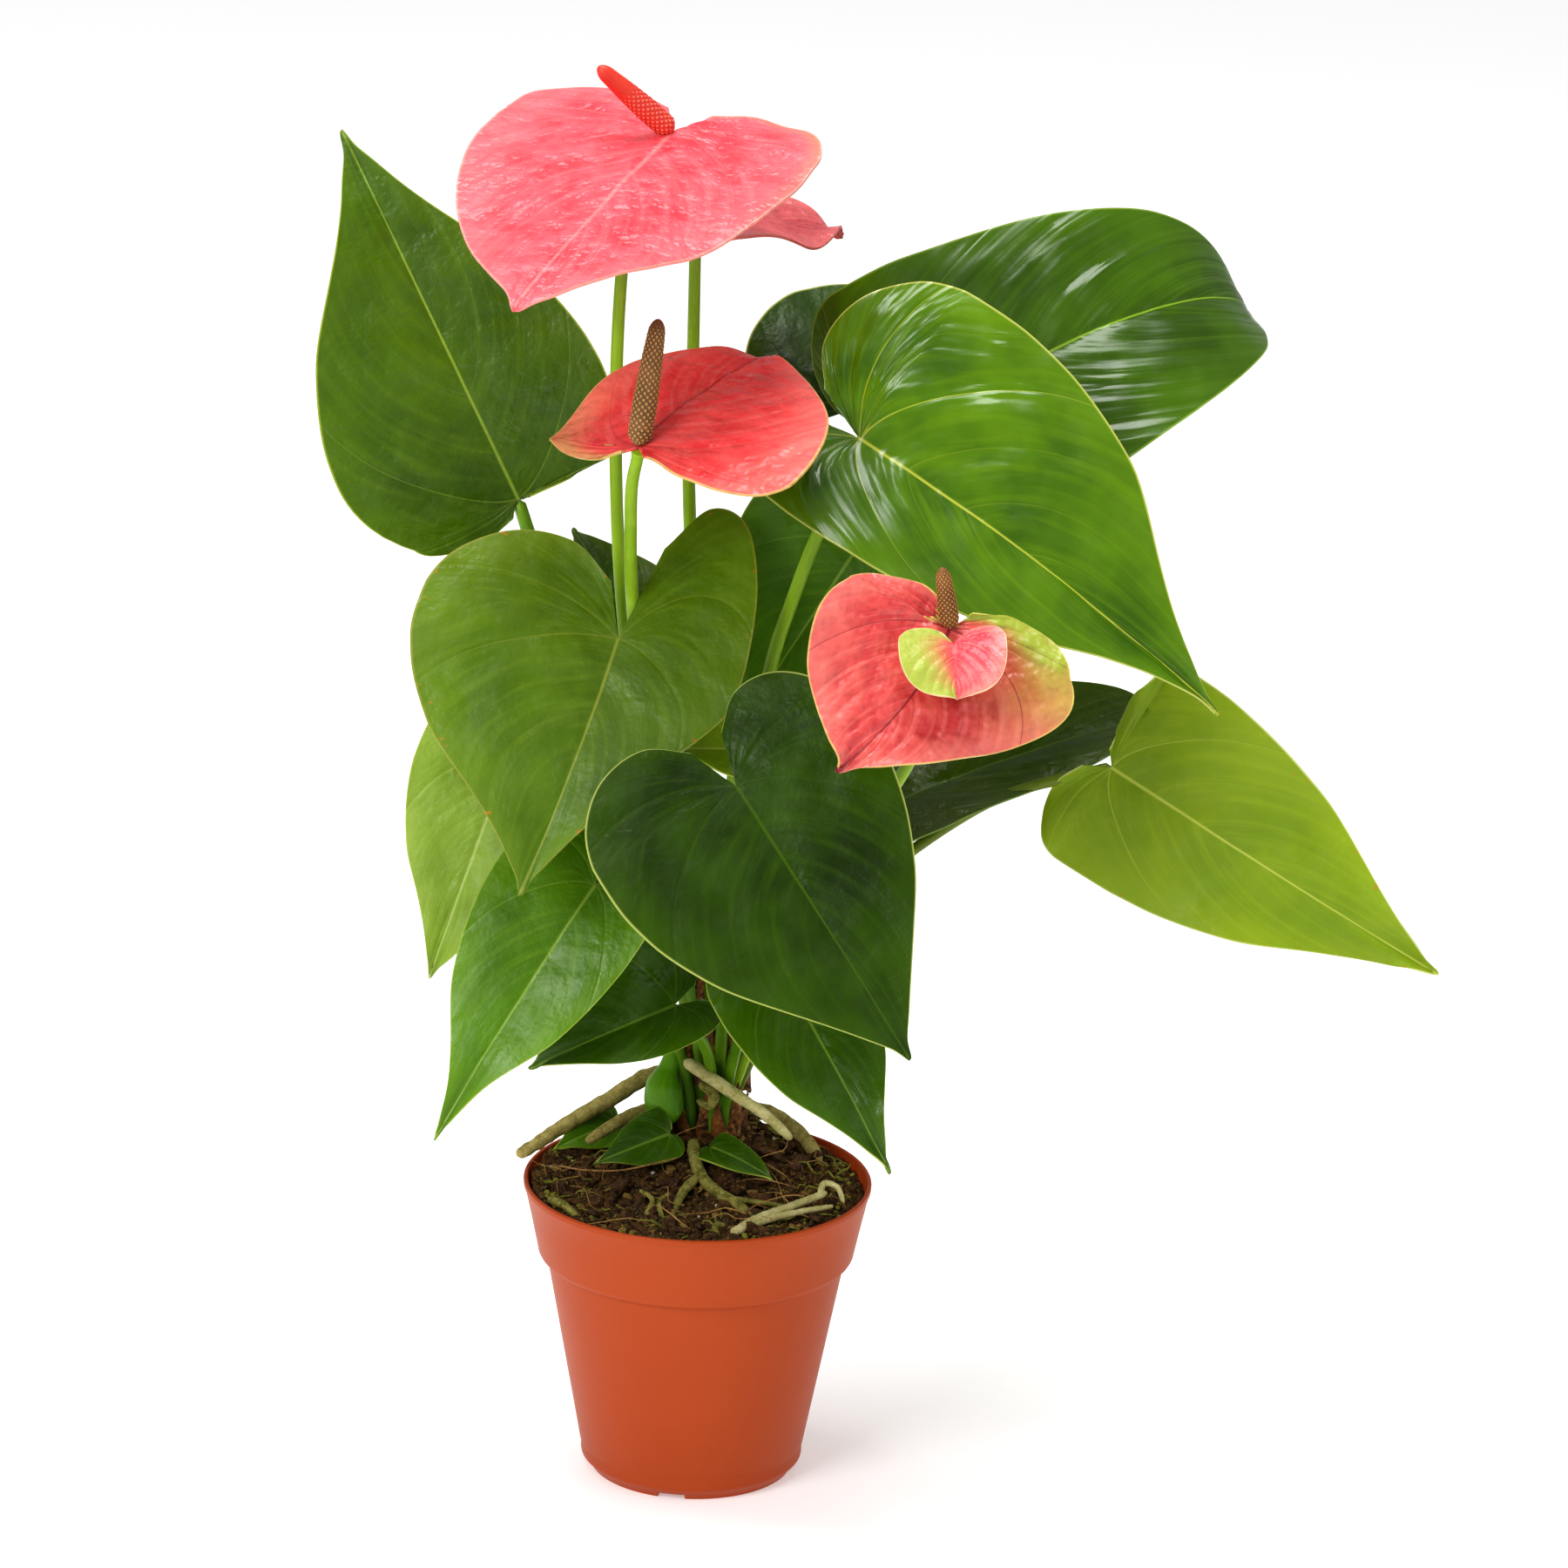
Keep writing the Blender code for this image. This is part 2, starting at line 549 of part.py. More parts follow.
def over_soil(place):
    """A root's place, drawn in or out beyond the crown as the soil's edge is."""
    x, y, z = (size * MM for size in place)
    off = sqrt(x * x + y * y)
    share = (CROWN_RADIUS + (off - CROWN_RADIUS) * soil_stretch()) / off
    return crown_point() + Vector((x * share, y * share, z))


def basal_spec(spec):
    """A basal leaf's spec, its places drawn in or out with the roots beside it."""
    drawn = dict(spec)
    for key in ("base", "tip"):
        off = (over_soil(spec[key]) - crown_point()) / MM
        drawn[key] = tuple(off)
    drawn["root"] = tuple((over_soil((*spec["root"], 0)) - crown_point()) / MM)[:2]
    return drawn


def build_root(name, places, radius, plant, finish):
    """One root over the soil, thinner towards its end."""
    path = smooth_path([over_soil(place) for place in places], ROOT_POINTS - 1)
    radii = [radius * MM * (1 - 0.3 * i / (ROOT_POINTS - 1)) for i in range(ROOT_POINTS)]
    tube("root_" + name, path, radii, plant, finish)


def main():
    plant, cutters = reset()
    build_pot(plant, cutters)
    build_soil(plant)
    build_crown(plant)
    for name, spec in LEAVES.items():
        green = material("leaf_" + name + "_green", LEAF_COLOURS.get(name, GREEN), 0.3)
        stem_green = material("petiole_" + name + "_green", OLIVE, 0.4)
        build_leaf(name, spec, plant, green, stem_green)
    for name, spec in FLOWERS.items():
        pink = material("spathe_" + name + "_pink", PINK, 0.3)
        stem_green = material("stalk_" + name + "_green", OLIVE, 0.4)
        warty = material("spadix_" + name + "_skin", SPADIX_COLOURS[name], 0.5)
        build_flower(name, spec, plant, pink, stem_green, warty)
    build_small_spathe(plant, material("small_spathe_pink", PINK, 0.3))
    for name, (places, radius) in ROOTS.items():
        build_root(name, places, radius, plant, material("root_" + name + "_skin", KHAKI, 0.8))


main()
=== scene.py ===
"""The looks of a potted anthurium: nursery pot, soil, roots, crown, leaves and flowers.

Metres, +Z up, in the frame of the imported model. Places on the plant are in millimetres from the
crown point, where the stems come out of the soil, as in the part's own design.
"""

import logging
from dataclasses import dataclass, field
from enum import Enum
from math import cos, exp, pi, radians, sin, sqrt

import bpy
import numpy as np
from mathutils import Matrix, Vector, noise


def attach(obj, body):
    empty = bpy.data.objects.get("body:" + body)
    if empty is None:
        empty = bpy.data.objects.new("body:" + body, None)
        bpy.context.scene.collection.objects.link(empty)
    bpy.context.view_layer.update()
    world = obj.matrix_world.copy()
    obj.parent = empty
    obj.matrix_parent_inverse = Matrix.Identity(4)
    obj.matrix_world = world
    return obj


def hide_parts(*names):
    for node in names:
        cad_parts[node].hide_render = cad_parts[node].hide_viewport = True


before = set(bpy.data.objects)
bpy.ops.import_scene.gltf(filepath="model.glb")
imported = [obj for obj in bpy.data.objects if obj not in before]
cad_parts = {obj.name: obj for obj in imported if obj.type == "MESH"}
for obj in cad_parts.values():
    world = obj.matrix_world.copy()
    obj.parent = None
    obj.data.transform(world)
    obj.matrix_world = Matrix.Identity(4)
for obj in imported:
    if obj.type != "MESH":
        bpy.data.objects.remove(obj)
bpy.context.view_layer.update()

logging.basicConfig(level=logging.INFO, format="%(message)s")
log = logging.getLogger("anthurium")

MM = 0.001
Place = tuple[float, float, float]
Pair = tuple[float, float]

# Sizes that the looks share with the part
POT_HEIGHT = 92 * MM
RIM_RADIUS = 52.5 * MM
WALL = 1.5 * MM
BAND_HEIGHT = 25 * MM
BAND_STEP = 3.0 * MM
BAND_DRAFT = 4.6 * MM
BASE_RADIUS = 33.6 * MM
CORNER_HEIGHT = 7.5 * MM
FOOT_RADIUS = 30.5 * MM
FOOT_WIDTH = 2.2 * MM
FOOT_HEIGHT = 2.4 * MM
HUB_RADIUS = 9 * MM
SOIL_DROP = 4.5 * MM
CROWN_X, CROWN_Y = 3 * MM, 22 * MM
MOUND = 13 * MM
MOUND_SPREAD = 30 * MM
CROWN_HEIGHT = 14 * MM
CROWN_CLEARANCE = 1.8 * MM
CROWN = Vector((CROWN_X, CROWN_Y, POT_HEIGHT - SOIL_DROP + MOUND))

# Where the looks go beyond the part's sizes
LIP_ROUND = 0.75 * MM  # radius of the rolled lip
BAND_ROUND = 2.4 * MM  # radius of the rim band's lower edge
CORNER_ROUND = 1.6 * MM  # radius of the pot's bottom corner
SHOULDER_TOP = 5.4 * MM  # how far above the band's foot its inner shoulder ends
SOIL_GAP = 0.6 * MM  # the soil's distance from the wall, under its top
SOIL_FOOT_INSET = 2.9 * MM  # how far the soil's foot stays inside the pot's bottom corner
FLAT_SIDE = (0.31, 0.9, 0.3)  # cross sections start from here, as no stalk or spike runs this way


class Slot(Enum):
    """The record's material slots, named for the kinds of new piece, which carry their own materials."""

    POT = "pot_plastic"
    SOIL = "potting_soil"
    BARK = "crown_bark"
    LEAF = "leaf_green"
    LIME = "leaf_lime"
    PETIOLE = "petiole_green"
    STALK = "stalk_green"
    SPATHE = "spathe_pink"
    RED_SPIKE = "spadix_red"
    BROWN_SPIKE = "spadix_brown"
    ROOT = "aerial_root"


# ---------------------------------------------------------------------------------- materials

# Noise cells on a blade: in each metre across, and between two side veins
FINE_STRIPES = (90.0, 7.0, 1.0)
BROAD_RIBS = (45.0, 1.9, 1.0)
SKIN_RELIEF = 0.1 * MM  # how deep a blade's fine stripes and its vein grooves are
GLOSS_CELLS = 90.0  # in each metre: the wax shines unevenly over about 11 mm
RIND_CELLS = 45.0  # in each metre: a stalk's colour changes over about 22 mm
WALL_CELLS = 26.0  # in each metre: the pot's wall is uneven over about 38 mm
RUST = "A8701C"
RUST_SPOT = 2 * MM
SPIKE_PATCH = 6.25 * MM


def linear(code: str) -> tuple[float, float, float, float]:
    """Turns an sRGB hex value into a linear colour.

    Args:
        code: the colour as six hex digits.

    Returns:
        Red, green, blue and an alpha of 1.
    """
    parts = [int(code[i:i + 2], 16) / 255 for i in (0, 2, 4)]
    return (*(p / 12.92 if p < 0.04045 else ((p + 0.055) / 1.055) ** 2.4 for p in parts), 1.0)


def node(tree: bpy.types.NodeTree, kind: str, inputs: dict | None = None, **settings) -> bpy.types.Node:
    """Adds a shader node.

    Args:
        tree: the material's node tree.
        kind: the node's type.
        inputs: a value or a socket to link, by input name or number.
        settings: the node's own properties.

    Returns:
        The new node.
    """
    made = tree.nodes.new(kind)
    for key, value in settings.items():
        setattr(made, key, value)
    for key, value in (inputs or {}).items():
        if isinstance(value, bpy.types.NodeSocket):
            tree.links.new(value, made.inputs[key])
        else:
            made.inputs[key].default_value = value
    return made


def new_material(name: str, roughness: float, **sockets: float) -> tuple:
    """Starts a Principled material.

    Args:
        name: the material's name.
        roughness: its even roughness.
        sockets: other constant values, by socket name with _ for a space.

    Returns:
        The material, its tree and its shader node.
    """
    made = bpy.data.materials.new(name)
    made.use_nodes = True
    shader = made.node_tree.nodes["Principled BSDF"]
    shader.inputs["Roughness"].default_value = roughness
    for key, value in sockets.items():
        shader.inputs[key.replace("_", " ")].default_value = value
    return made, made.node_tree, shader


@dataclass(frozen=True)
class BladeFinish:
    """A living blade: green or coloured tissue under a clear waxy skin, with sunken veins.

    Colours are sRGB hex values. show says how far the veins stand out in colour, from 0 to 1, and
    vein_mm is their width. quilt_mm is how deep the skin puckers between them, pucker_mm how far
    apart the puckers are and pucker_detail how many finer sizes they come in; ribbed puckers the
    skin in streaks along the side veins instead, and wax is how strongly it shines. blotch_mm is
    the size of the slow change between deep and body. green_right and green_left say how much of
    each half's lobe has stayed green, from green_from across outwards and up to green_reach along
    the outline, and spots how rusty the margin is.
    """

    name: str
    body: str
    deep: str
    pale: str
    vein: str
    margin: str
    under: str
    roughness: float = 0.32
    show: float = 0.6
    vein_mm: float = 0.5
    quilt_mm: float = 0.35
    blotch_mm: float = 28.0
    pucker_mm: float = 8.0
    pucker_detail: float = 3.0
    ribbed: bool = False
    wax: float = 0.4
    green: str = "A9B840"
    green_right: float = 0.0
    green_left: float = 0.0
    green_from: float = 0.3
    green_reach: float = 0.62
    spots: float = 0.0

    def veins(self, tree: bpy.types.NodeTree) -> dict:
        """Draws the veins from the blade's own maps.

        Args:
            tree: the material's node tree.

        Returns:
            Sockets by name: lines, the thin vein lines; groove, the wide grooves round them; edge
            and side, the share across to the margin without and with its side; along, the share
            along the outline; stripes and ribs, the places for fine striping and broad ribs.
        """
        blade = node(tree, "ShaderNodeUVMap", uv_map="blade")
        own = node(tree, "ShaderNodeSeparateXYZ", {0: blade.outputs[0]})
        edge = node(tree, "ShaderNodeMath", {0: own.outputs[0]}, operation="ABSOLUTE").outputs[0]
        vein_map = node(tree, "ShaderNodeUVMap", uv_map="veins")
        split = node(tree, "ShaderNodeSeparateXYZ", {0: vein_map.outputs[0]})
        across = node(tree, "ShaderNodeMath", {0: split.outputs[0]}, operation="ABSOLUTE").outputs[0]
        nearest = node(tree, "ShaderNodeMath", {0: split.outputs[1]}, operation="ROUND").outputs[0]
        off = node(tree, "ShaderNodeMath", {0: split.outputs[1], 1: nearest}, operation="SUBTRACT")
        off = node(tree, "ShaderNodeMath", {0: off.outputs[0]}, operation="ABSOLUTE").outputs[0]
        gap = node(tree, "ShaderNodeAttribute", attribute_name="vein_gap").outputs["Fac"]
        strength = node(tree, "ShaderNodeAttribute", attribute_name="vein_strength").outputs["Fac"]
        away = node(tree, "ShaderNodeMath", {0: off, 1: gap}, operation="MULTIPLY").outputs[0]
        width = self.vein_mm * MM
        taper = node(tree, "ShaderNodeMapRange", {
            "Value": edge, "From Min": 0.0, "From Max": 0.95, "To Min": width, "To Max": 0.35 * width})
        line = node(tree, "ShaderNodeMapRange", {
            "Value": away, "From Min": 0.0, "From Max": taper.outputs[0], "To Min": 1.0, "To Max": 0.0},
            interpolation_type="SMOOTHSTEP").outputs[0]
        line = node(tree, "ShaderNodeMath", {0: line, 1: strength}, operation="MULTIPLY").outputs[0]
        line = node(tree, "ShaderNodeMath", {0: line, 1: self.show}, operation="MULTIPLY").outputs[0]
        rib_width = node(tree, "ShaderNodeMapRange", {
            "Value": own.outputs[1], "From Min": 0.3, "From Max": 1.0,
            "To Min": 2.0 * width, "To Max": 0.7 * width}).outputs[0]
        rib = node(tree, "ShaderNodeMapRange", {
            "Value": across, "From Min": 0.0, "From Max": rib_width,
            "To Min": min(1.0, self.show + 0.4), "To Max": 0.0},
            interpolation_type="SMOOTHSTEP").outputs[0]
        lines = node(tree, "ShaderNodeMath", {0: line, 1: rib}, operation="MAXIMUM").outputs[0]
        groove = node(tree, "ShaderNodeMapRange", {
            "Value": away, "From Min": 0.0, "From Max": 3.2 * width, "To Min": 1.0, "To Max": 0.0},
            interpolation_type="SMOOTHSTEP").outputs[0]
        groove = node(tree, "ShaderNodeMath", {0: groove, 1: strength}, operation="MULTIPLY").outputs[0]
        groove = node(tree, "ShaderNodeMath", {0: 1.0, 1: groove}, operation="SUBTRACT").outputs[0]
        rib_groove = node(tree, "ShaderNodeMapRange", {
            "Value": across, "From Min": 0.0, "From Max": 5.0 * width, "To Min": 0.0, "To Max": 1.0},
            interpolation_type="SMOOTHSTEP").outputs[0]
        groove = node(tree, "ShaderNodeMath", {0: groove, 1: rib_groove}, operation="MULTIPLY").outputs[0]
        along_veins = node(tree, "ShaderNodeCombineXYZ", {0: split.outputs[0], 1: split.outputs[1]})
        stripes, ribs = (
            node(tree, "ShaderNodeVectorMath", {0: along_veins.outputs[0], 1: shares},
                 operation="MULTIPLY").outputs[0]
            for shares in (FINE_STRIPES, BROAD_RIBS))
        return {"lines": lines, "groove": groove, "edge": edge, "side": own.outputs[0],
                "along": own.outputs[1], "stripes": stripes, "ribs": ribs}

    def relief(self, tree: bpy.types.NodeTree, shader: bpy.types.Node, maps: dict, sign: float) -> None:
        """Adds the fine relief: puckers, striping and grooves.

        Args:
            tree: the material's node tree.
            shader: its Principled node.
            maps: the sockets that veins() returned.
            sign: 1 on the upper side, -1 underneath, where the veins stand out.
        """
        if self.ribbed:
            spot, scale = maps["ribs"], 1.0
        else:
            spot, scale = node(tree, "ShaderNodeTexCoord").outputs["Object"], 1 / (self.pucker_mm * MM)
        pucker = node(tree, "ShaderNodeTexNoise", {
            "Vector": spot, "Scale": scale, "Detail": self.pucker_detail, "Roughness": 0.55})
        puckers = node(tree, "ShaderNodeBump", {
            "Height": pucker.outputs[0], "Distance": self.quilt_mm * MM * 2.4, "Strength": 1.0})
        fine = node(tree, "ShaderNodeTexNoise", {"Vector": maps["stripes"], "Scale": 1.0, "Detail": 3.0})
        stripes = node(tree, "ShaderNodeBump", {
            "Height": fine.outputs[0], "Distance": SKIN_RELIEF, "Strength": 0.8,
            "Normal": puckers.outputs[0]})
        grooves = node(tree, "ShaderNodeBump", {
            "Height": maps["groove"], "Distance": SKIN_RELIEF, "Strength": 0.8,
            "Normal": stripes.outputs[0]}, invert=sign < 0)
        tree.links.new(grooves.outputs[0], shader.inputs["Normal"])

    def colours(self, tree: bpy.types.NodeTree, maps: dict) -> bpy.types.NodeSocket:
        """Mixes the blade's colours.

        Args:
            tree: the material's node tree.
            maps: the sockets that veins() returned.

        Returns:
            The colour socket.
        """
        spot = node(tree, "ShaderNodeTexCoord").outputs["Object"]
        blotch = node(tree, "ShaderNodeTexNoise", {
            "Vector": spot, "Scale": 1 / (self.blotch_mm * MM), "Detail": 3.0, "Roughness": 0.6})
        patch = node(tree, "ShaderNodeMapRange", {
            "Value": blotch.outputs[0], "From Min": 0.36, "From Max": 0.66}).outputs[0]
        fine = node(tree, "ShaderNodeTexNoise", {"Vector": maps["stripes"], "Scale": 0.6, "Detail": 4.0})
        streak = node(tree, "ShaderNodeMapRange", {
            "Value": fine.outputs[0], "From Min": 0.48, "From Max": 0.8, "To Min": 0.0, "To Max": 0.6})
        near_edge = node(tree, "ShaderNodeMapRange", {
            "Value": maps["edge"], "From Min": 0.6, "From Max": 1.0, "To Min": 0.0, "To Max": 0.4},
            interpolation_type="SMOOTHSTEP").outputs[0]
        layers = [(patch, self.body), (streak.outputs[0], self.pale), (near_edge, self.pale)]
        if self.green_right or self.green_left:
            layers.append((self.greenness(tree, maps, blotch.outputs[0]), self.green))
        layers.append((maps["lines"], self.vein))
        if self.spots:
            grain = node(tree, "ShaderNodeTexNoise", {
                "Vector": spot, "Scale": 1 / RUST_SPOT, "Detail": 1.0})
            where = node(tree, "ShaderNodeMath", {0: grain.outputs[0], 1: near_edge},
                         operation="MULTIPLY")
            rust = node(tree, "ShaderNodeMapRange", {
                "Value": where.outputs[0], "From Min": 0.285 - 0.02 * self.spots, "From Max": 0.3})
            layers.append((rust.outputs[0], RUST))
        # The thin bright line round the margin: partly the blade's own paler edge, partly a painted
        # highlight of the light that catches the edge, laid evenly all round
        rim = node(tree, "ShaderNodeMapRange", {
            "Value": maps["edge"], "From Min": 0.984, "From Max": 0.996, "To Max": 0.7}).outputs[0]
        layers.append((rim, self.margin))
        base = linear(self.deep)
        for share, colour in layers:
            base = node(tree, "ShaderNodeMix", {0: share, 6: base, 7: linear(colour)},
                        data_type="RGBA").outputs[2]
        return base

    def greenness(self, tree: bpy.types.NodeTree, maps: dict,
                  blotch: bpy.types.NodeSocket) -> bpy.types.NodeSocket:
        """Says how green each place has stayed, as on a flower bract whose lobes colour late.

        Args:
            tree: the material's node tree.
            maps: the sockets that veins() returned.
            blotch: slow noise that makes the change uneven.

        Returns:
            The socket of the share of green.
        """
        lobe = node(tree, "ShaderNodeMapRange", {
            "Value": maps["along"], "From Min": self.green_reach - 0.37, "From Max": self.green_reach,
            "To Min": 1.0, "To Max": 0.0},
            interpolation_type="SMOOTHSTEP").outputs[0]
        right = node(tree, "ShaderNodeMapRange", {
            "Value": maps["side"], "From Min": -0.1, "From Max": 0.8,
            "To Max": self.green_right}).outputs[0]
        left = node(tree, "ShaderNodeMapRange", {
            "Value": maps["side"], "From Min": -0.75, "From Max": -0.15,
            "To Min": self.green_left, "To Max": 0.0}).outputs[0]
        lobes = node(tree, "ShaderNodeMath", {0: right, 1: left}, operation="ADD").outputs[0]
        lobes = node(tree, "ShaderNodeMath", {0: lobes, 1: lobe}, operation="MULTIPLY").outputs[0]
        outer = node(tree, "ShaderNodeMapRange", {
            "Value": maps["edge"], "From Min": self.green_from,
            "From Max": self.green_from + 0.35}).outputs[0]
        lobes = node(tree, "ShaderNodeMath", {0: lobes, 1: outer}, operation="MULTIPLY").outputs[0]
        uneven = node(tree, "ShaderNodeMapRange", {
            "Value": blotch, "From Min": 0.3, "From Max": 0.6, "To Min": 0.75, "To Max": 1.1}).outputs[0]
        return node(tree, "ShaderNodeMath", {0: lobes, 1: uneven}, operation="MULTIPLY",
                    use_clamp=True).outputs[0]

    def upper(self) -> bpy.types.Material:
        """The upper side, with the gloss of its wax, which is uneven.

        Returns:
            The material.
        """
        made, tree, shader = new_material(
            self.name, self.roughness, IOR=1.45, Specular_IOR_Level=self.wax)
        maps = self.veins(tree)
        spot = node(tree, "ShaderNodeTexCoord").outputs["Object"]
        dull = node(tree, "ShaderNodeTexNoise", {"Vector": spot, "Scale": GLOSS_CELLS, "Detail": 4.0})
        gloss = node(tree, "ShaderNodeMapRange", {
            "Value": dull.outputs[0], "From Min": 0.35, "From Max": 0.65,
            "To Min": self.roughness - 0.06, "To Max": self.roughness + 0.14}).outputs[0]
        tree.links.new(gloss, shader.inputs["Roughness"])
        tree.links.new(self.colours(tree, maps), shader.inputs["Base Color"])
        self.relief(tree, shader, maps, 1.0)
        return made

    def lower(self) -> bpy.types.Material:
        """The underside: paler, duller, with raised veins.

        Returns:
            The material.
        """
        made, tree, shader = new_material(
            self.name + "_underside", 0.55, IOR=1.4, Specular_IOR_Level=0.35)
        maps = self.veins(tree)
        base = node(tree, "ShaderNodeMix", {
            0: maps["lines"], 6: linear(self.under), 7: linear(self.vein)}, data_type="RGBA").outputs[2]
        tree.links.new(base, shader.inputs["Base Color"])
        self.relief(tree, shader, maps, -1.0)
        return made


SATIN_GREEN = BladeFinish(
    "leaf_satin_green", body="466402", deep="345000", pale="587610", vein="8CA43A", margin="A8B840",
    under="6C8430", roughness=0.3, show=0.42, quilt_mm=0.5, pucker_mm=7)
WORN_GREEN = BladeFinish(
    "leaf_orange_edged", body="587806", deep="466400", pale="6E8A1C", vein="98A040", margin="94943A",
    under="6C8430", roughness=0.36, show=0.28, spots=1.0)
DARK_GREEN = BladeFinish(
    "leaf_dark_green", body="304C00", deep="1C3000", pale="3A5800", vein="4A680C", margin="C4CC70",
    under="4F6A20", roughness=0.36, show=0.2, wax=0.25)
BRIGHT_GREEN = BladeFinish(
    "leaf_bright_green", body="527800", deep="365A00", pale="668A04", vein="AEB440", margin="C4C468",
    under="6F8A2A", roughness=0.16, show=0.7, quilt_mm=0.55, ribbed=True, pucker_detail=2.2, wax=0.5)
QUILTED_GREEN = BladeFinish(
    "leaf_quilted_green", body="3E6000", deep="2E4A00", pale="4C7004", vein="82A028", margin="86A038",
    under="6F8A2A", roughness=0.19, show=0.6, quilt_mm=0.5, ribbed=True, pucker_detail=2.2, wax=0.45)
# Painted shade: a darker, duller copy of the leaf greens, margin too, for the leaves that stand behind
# others, in their shade
PAINTED_SHADE_GREEN = BladeFinish(
    "leaf_painted_shade_green", body="42560C", deep="304604", pale="566A1C", vein="58742A", margin="6E8430",
    under="4F6A20", roughness=0.28, show=0.4)
FRESH_GREEN = BladeFinish(
    "leaf_fresh_green", body="568006", deep="466E02", pale="6E941C", vein="90AC44", margin="A8BC44",
    under="84983C", roughness=0.34, show=0.42)
PALE_GREEN = BladeFinish(
    "leaf_pale_green", body="84A030", deep="6E8A1C", pale="98B048", vein="B4C46C", margin="B8C85C",
    under="94A650", roughness=0.4, show=0.35)
DEEP_GREEN = BladeFinish(
    "leaf_deep_green", body="3C5E00", deep="2C4A00", pale="4C7008", vein="7C9838", margin="B8C45C",
    under="5F7A2C", roughness=0.28, show=0.35)
LIME_GREEN = BladeFinish(
    "leaf_lime", body="7C9402", deep="6C8600", pale="8AA014", vein="B4BC50", margin="D4D690",
    under="94A43C", roughness=0.5, show=0.45, spots=0.8)
YOUNG_LIME = BladeFinish(
    "leaf_young_lime", body="94B004", deep="86A400", pale="A6C020", vein="C8D464", margin="C6D452",
    under="A6BC3C", roughness=0.4, show=0.5)
CORAL = BladeFinish(
    "spathe_coral", body="F25E68", deep="E03C48", pale="FA8084", vein="F88A88", margin="F0A090",
    under="E0807A", roughness=0.32, show=0.2, vein_mm=0.9, quilt_mm=0.75, blotch_mm=10, pucker_mm=5,
    pucker_detail=2.0, wax=0.45, green_left=0.8, green_from=0.88, green="A8AC44")
DUSTY_CORAL = BladeFinish(
    "spathe_dusty_coral", body="C45458", deep="AC3C42", pale="DC7C78", vein="A03840", margin="B85A4C",
    under="C8605C", roughness=0.34, show=0.35, vein_mm=0.6, quilt_mm=1.1, blotch_mm=12, pucker_mm=7,
    wax=0.5)
RED_CORAL = BladeFinish(
    "spathe_red_coral", body="F05A58", deep="DE3A3E", pale="F88A7E", vein="AC2C30", margin="CCBC6C",
    under="C9A860", roughness=0.3, show=0.5, vein_mm=0.7, quilt_mm=1.0, blotch_mm=8, pucker_mm=7,
    pucker_detail=2.0, wax=0.45, green_left=0.6, green="B8A45C", green_from=0.5)
VEINED_CORAL = BladeFinish(
    "spathe_veined_coral", body="D85A52", deep="BC3438", pale="EE8C80", vein="842428", margin="D8C46C",
    under="C9B060", roughness=0.34, show=0.85, vein_mm=0.6, quilt_mm=1.1, blotch_mm=7, pucker_mm=7,
    pucker_detail=2.0, wax=0.5, green_left=1.1, green="9CA83A", green_from=0.3)
SMALL_CORAL = BladeFinish(
    "spathe_small_coral", body="E4646A", deep="D03C4C", pale="F0A08C", vein="C83448", margin="EFD8A8",
    under="C9B860", roughness=0.34, show=0.3, vein_mm=0.6, quilt_mm=0.6, blotch_mm=8,
    green_right=1.2, green="A8B44C", green_from=0.0, green_reach=1.5)


@dataclass(frozen=True)
class StemFinish:
    """A living stalk: smooth green rind with faint lengthwise lines, redder or duller in places."""

    name: str
    base: str
    other: str
    lines: str
    roughness: float = 0.38

    def material(self) -> bpy.types.Material:
        """Builds the rind.

        Returns:
            The material.
        """
        made, tree, shader = new_material(self.name, self.roughness, IOR=1.43, Specular_IOR_Level=0.4)
        stem = node(tree, "ShaderNodeUVMap", uv_map="stem").outputs[0]
        spot = node(tree, "ShaderNodeTexCoord").outputs["Object"]
        slow = node(tree, "ShaderNodeTexNoise", {"Vector": spot, "Scale": RIND_CELLS, "Detail": 3.0})
        mottle = node(tree, "ShaderNodeMapRange", {
            "Value": slow.outputs[0], "From Min": 0.38, "From Max": 0.64}).outputs[0]
        base = node(tree, "ShaderNodeMix", {0: mottle, 6: linear(self.base), 7: linear(self.other)},
                    data_type="RGBA").outputs[2]
        stretched = node(tree, "ShaderNodeVectorMath", {0: stem, 1: (14.0, 2.0, 1.0)},
                         operation="MULTIPLY").outputs[0]
        fine = node(tree, "ShaderNodeTexNoise", {"Vector": stretched, "Scale": 1.0, "Detail": 3.0})
        streak = node(tree, "ShaderNodeMapRange", {
            "Value": fine.outputs[0], "From Min": 0.5, "From Max": 0.8, "To Max": 0.7}).outputs[0]
        base = node(tree, "ShaderNodeMix", {0: streak, 6: base, 7: linear(self.lines)},
                    data_type="RGBA").outputs[2]
        tree.links.new(base, shader.inputs["Base Color"])
        ridges = node(tree, "ShaderNodeBump", {
            "Height": fine.outputs[0], "Distance": 0.12 * MM, "Strength": 0.6})
        tree.links.new(ridges.outputs[0], shader.inputs["Normal"])
        return made


PETIOLE_GREEN = StemFinish("petiole_fresh_green", "4E780A", "6A9216", "86A82C")
STALK_LIME = StemFinish("stalk_lime_green", "8DB01E", "7C9E18", "A6C23C")
STALK_OLIVE = StemFinish("stalk_olive", "6A7C10", "56680A", "8A9A2C")
BASE_GREEN = StemFinish("stem_base_green", "558A06", "6CA010", "7CAC20")


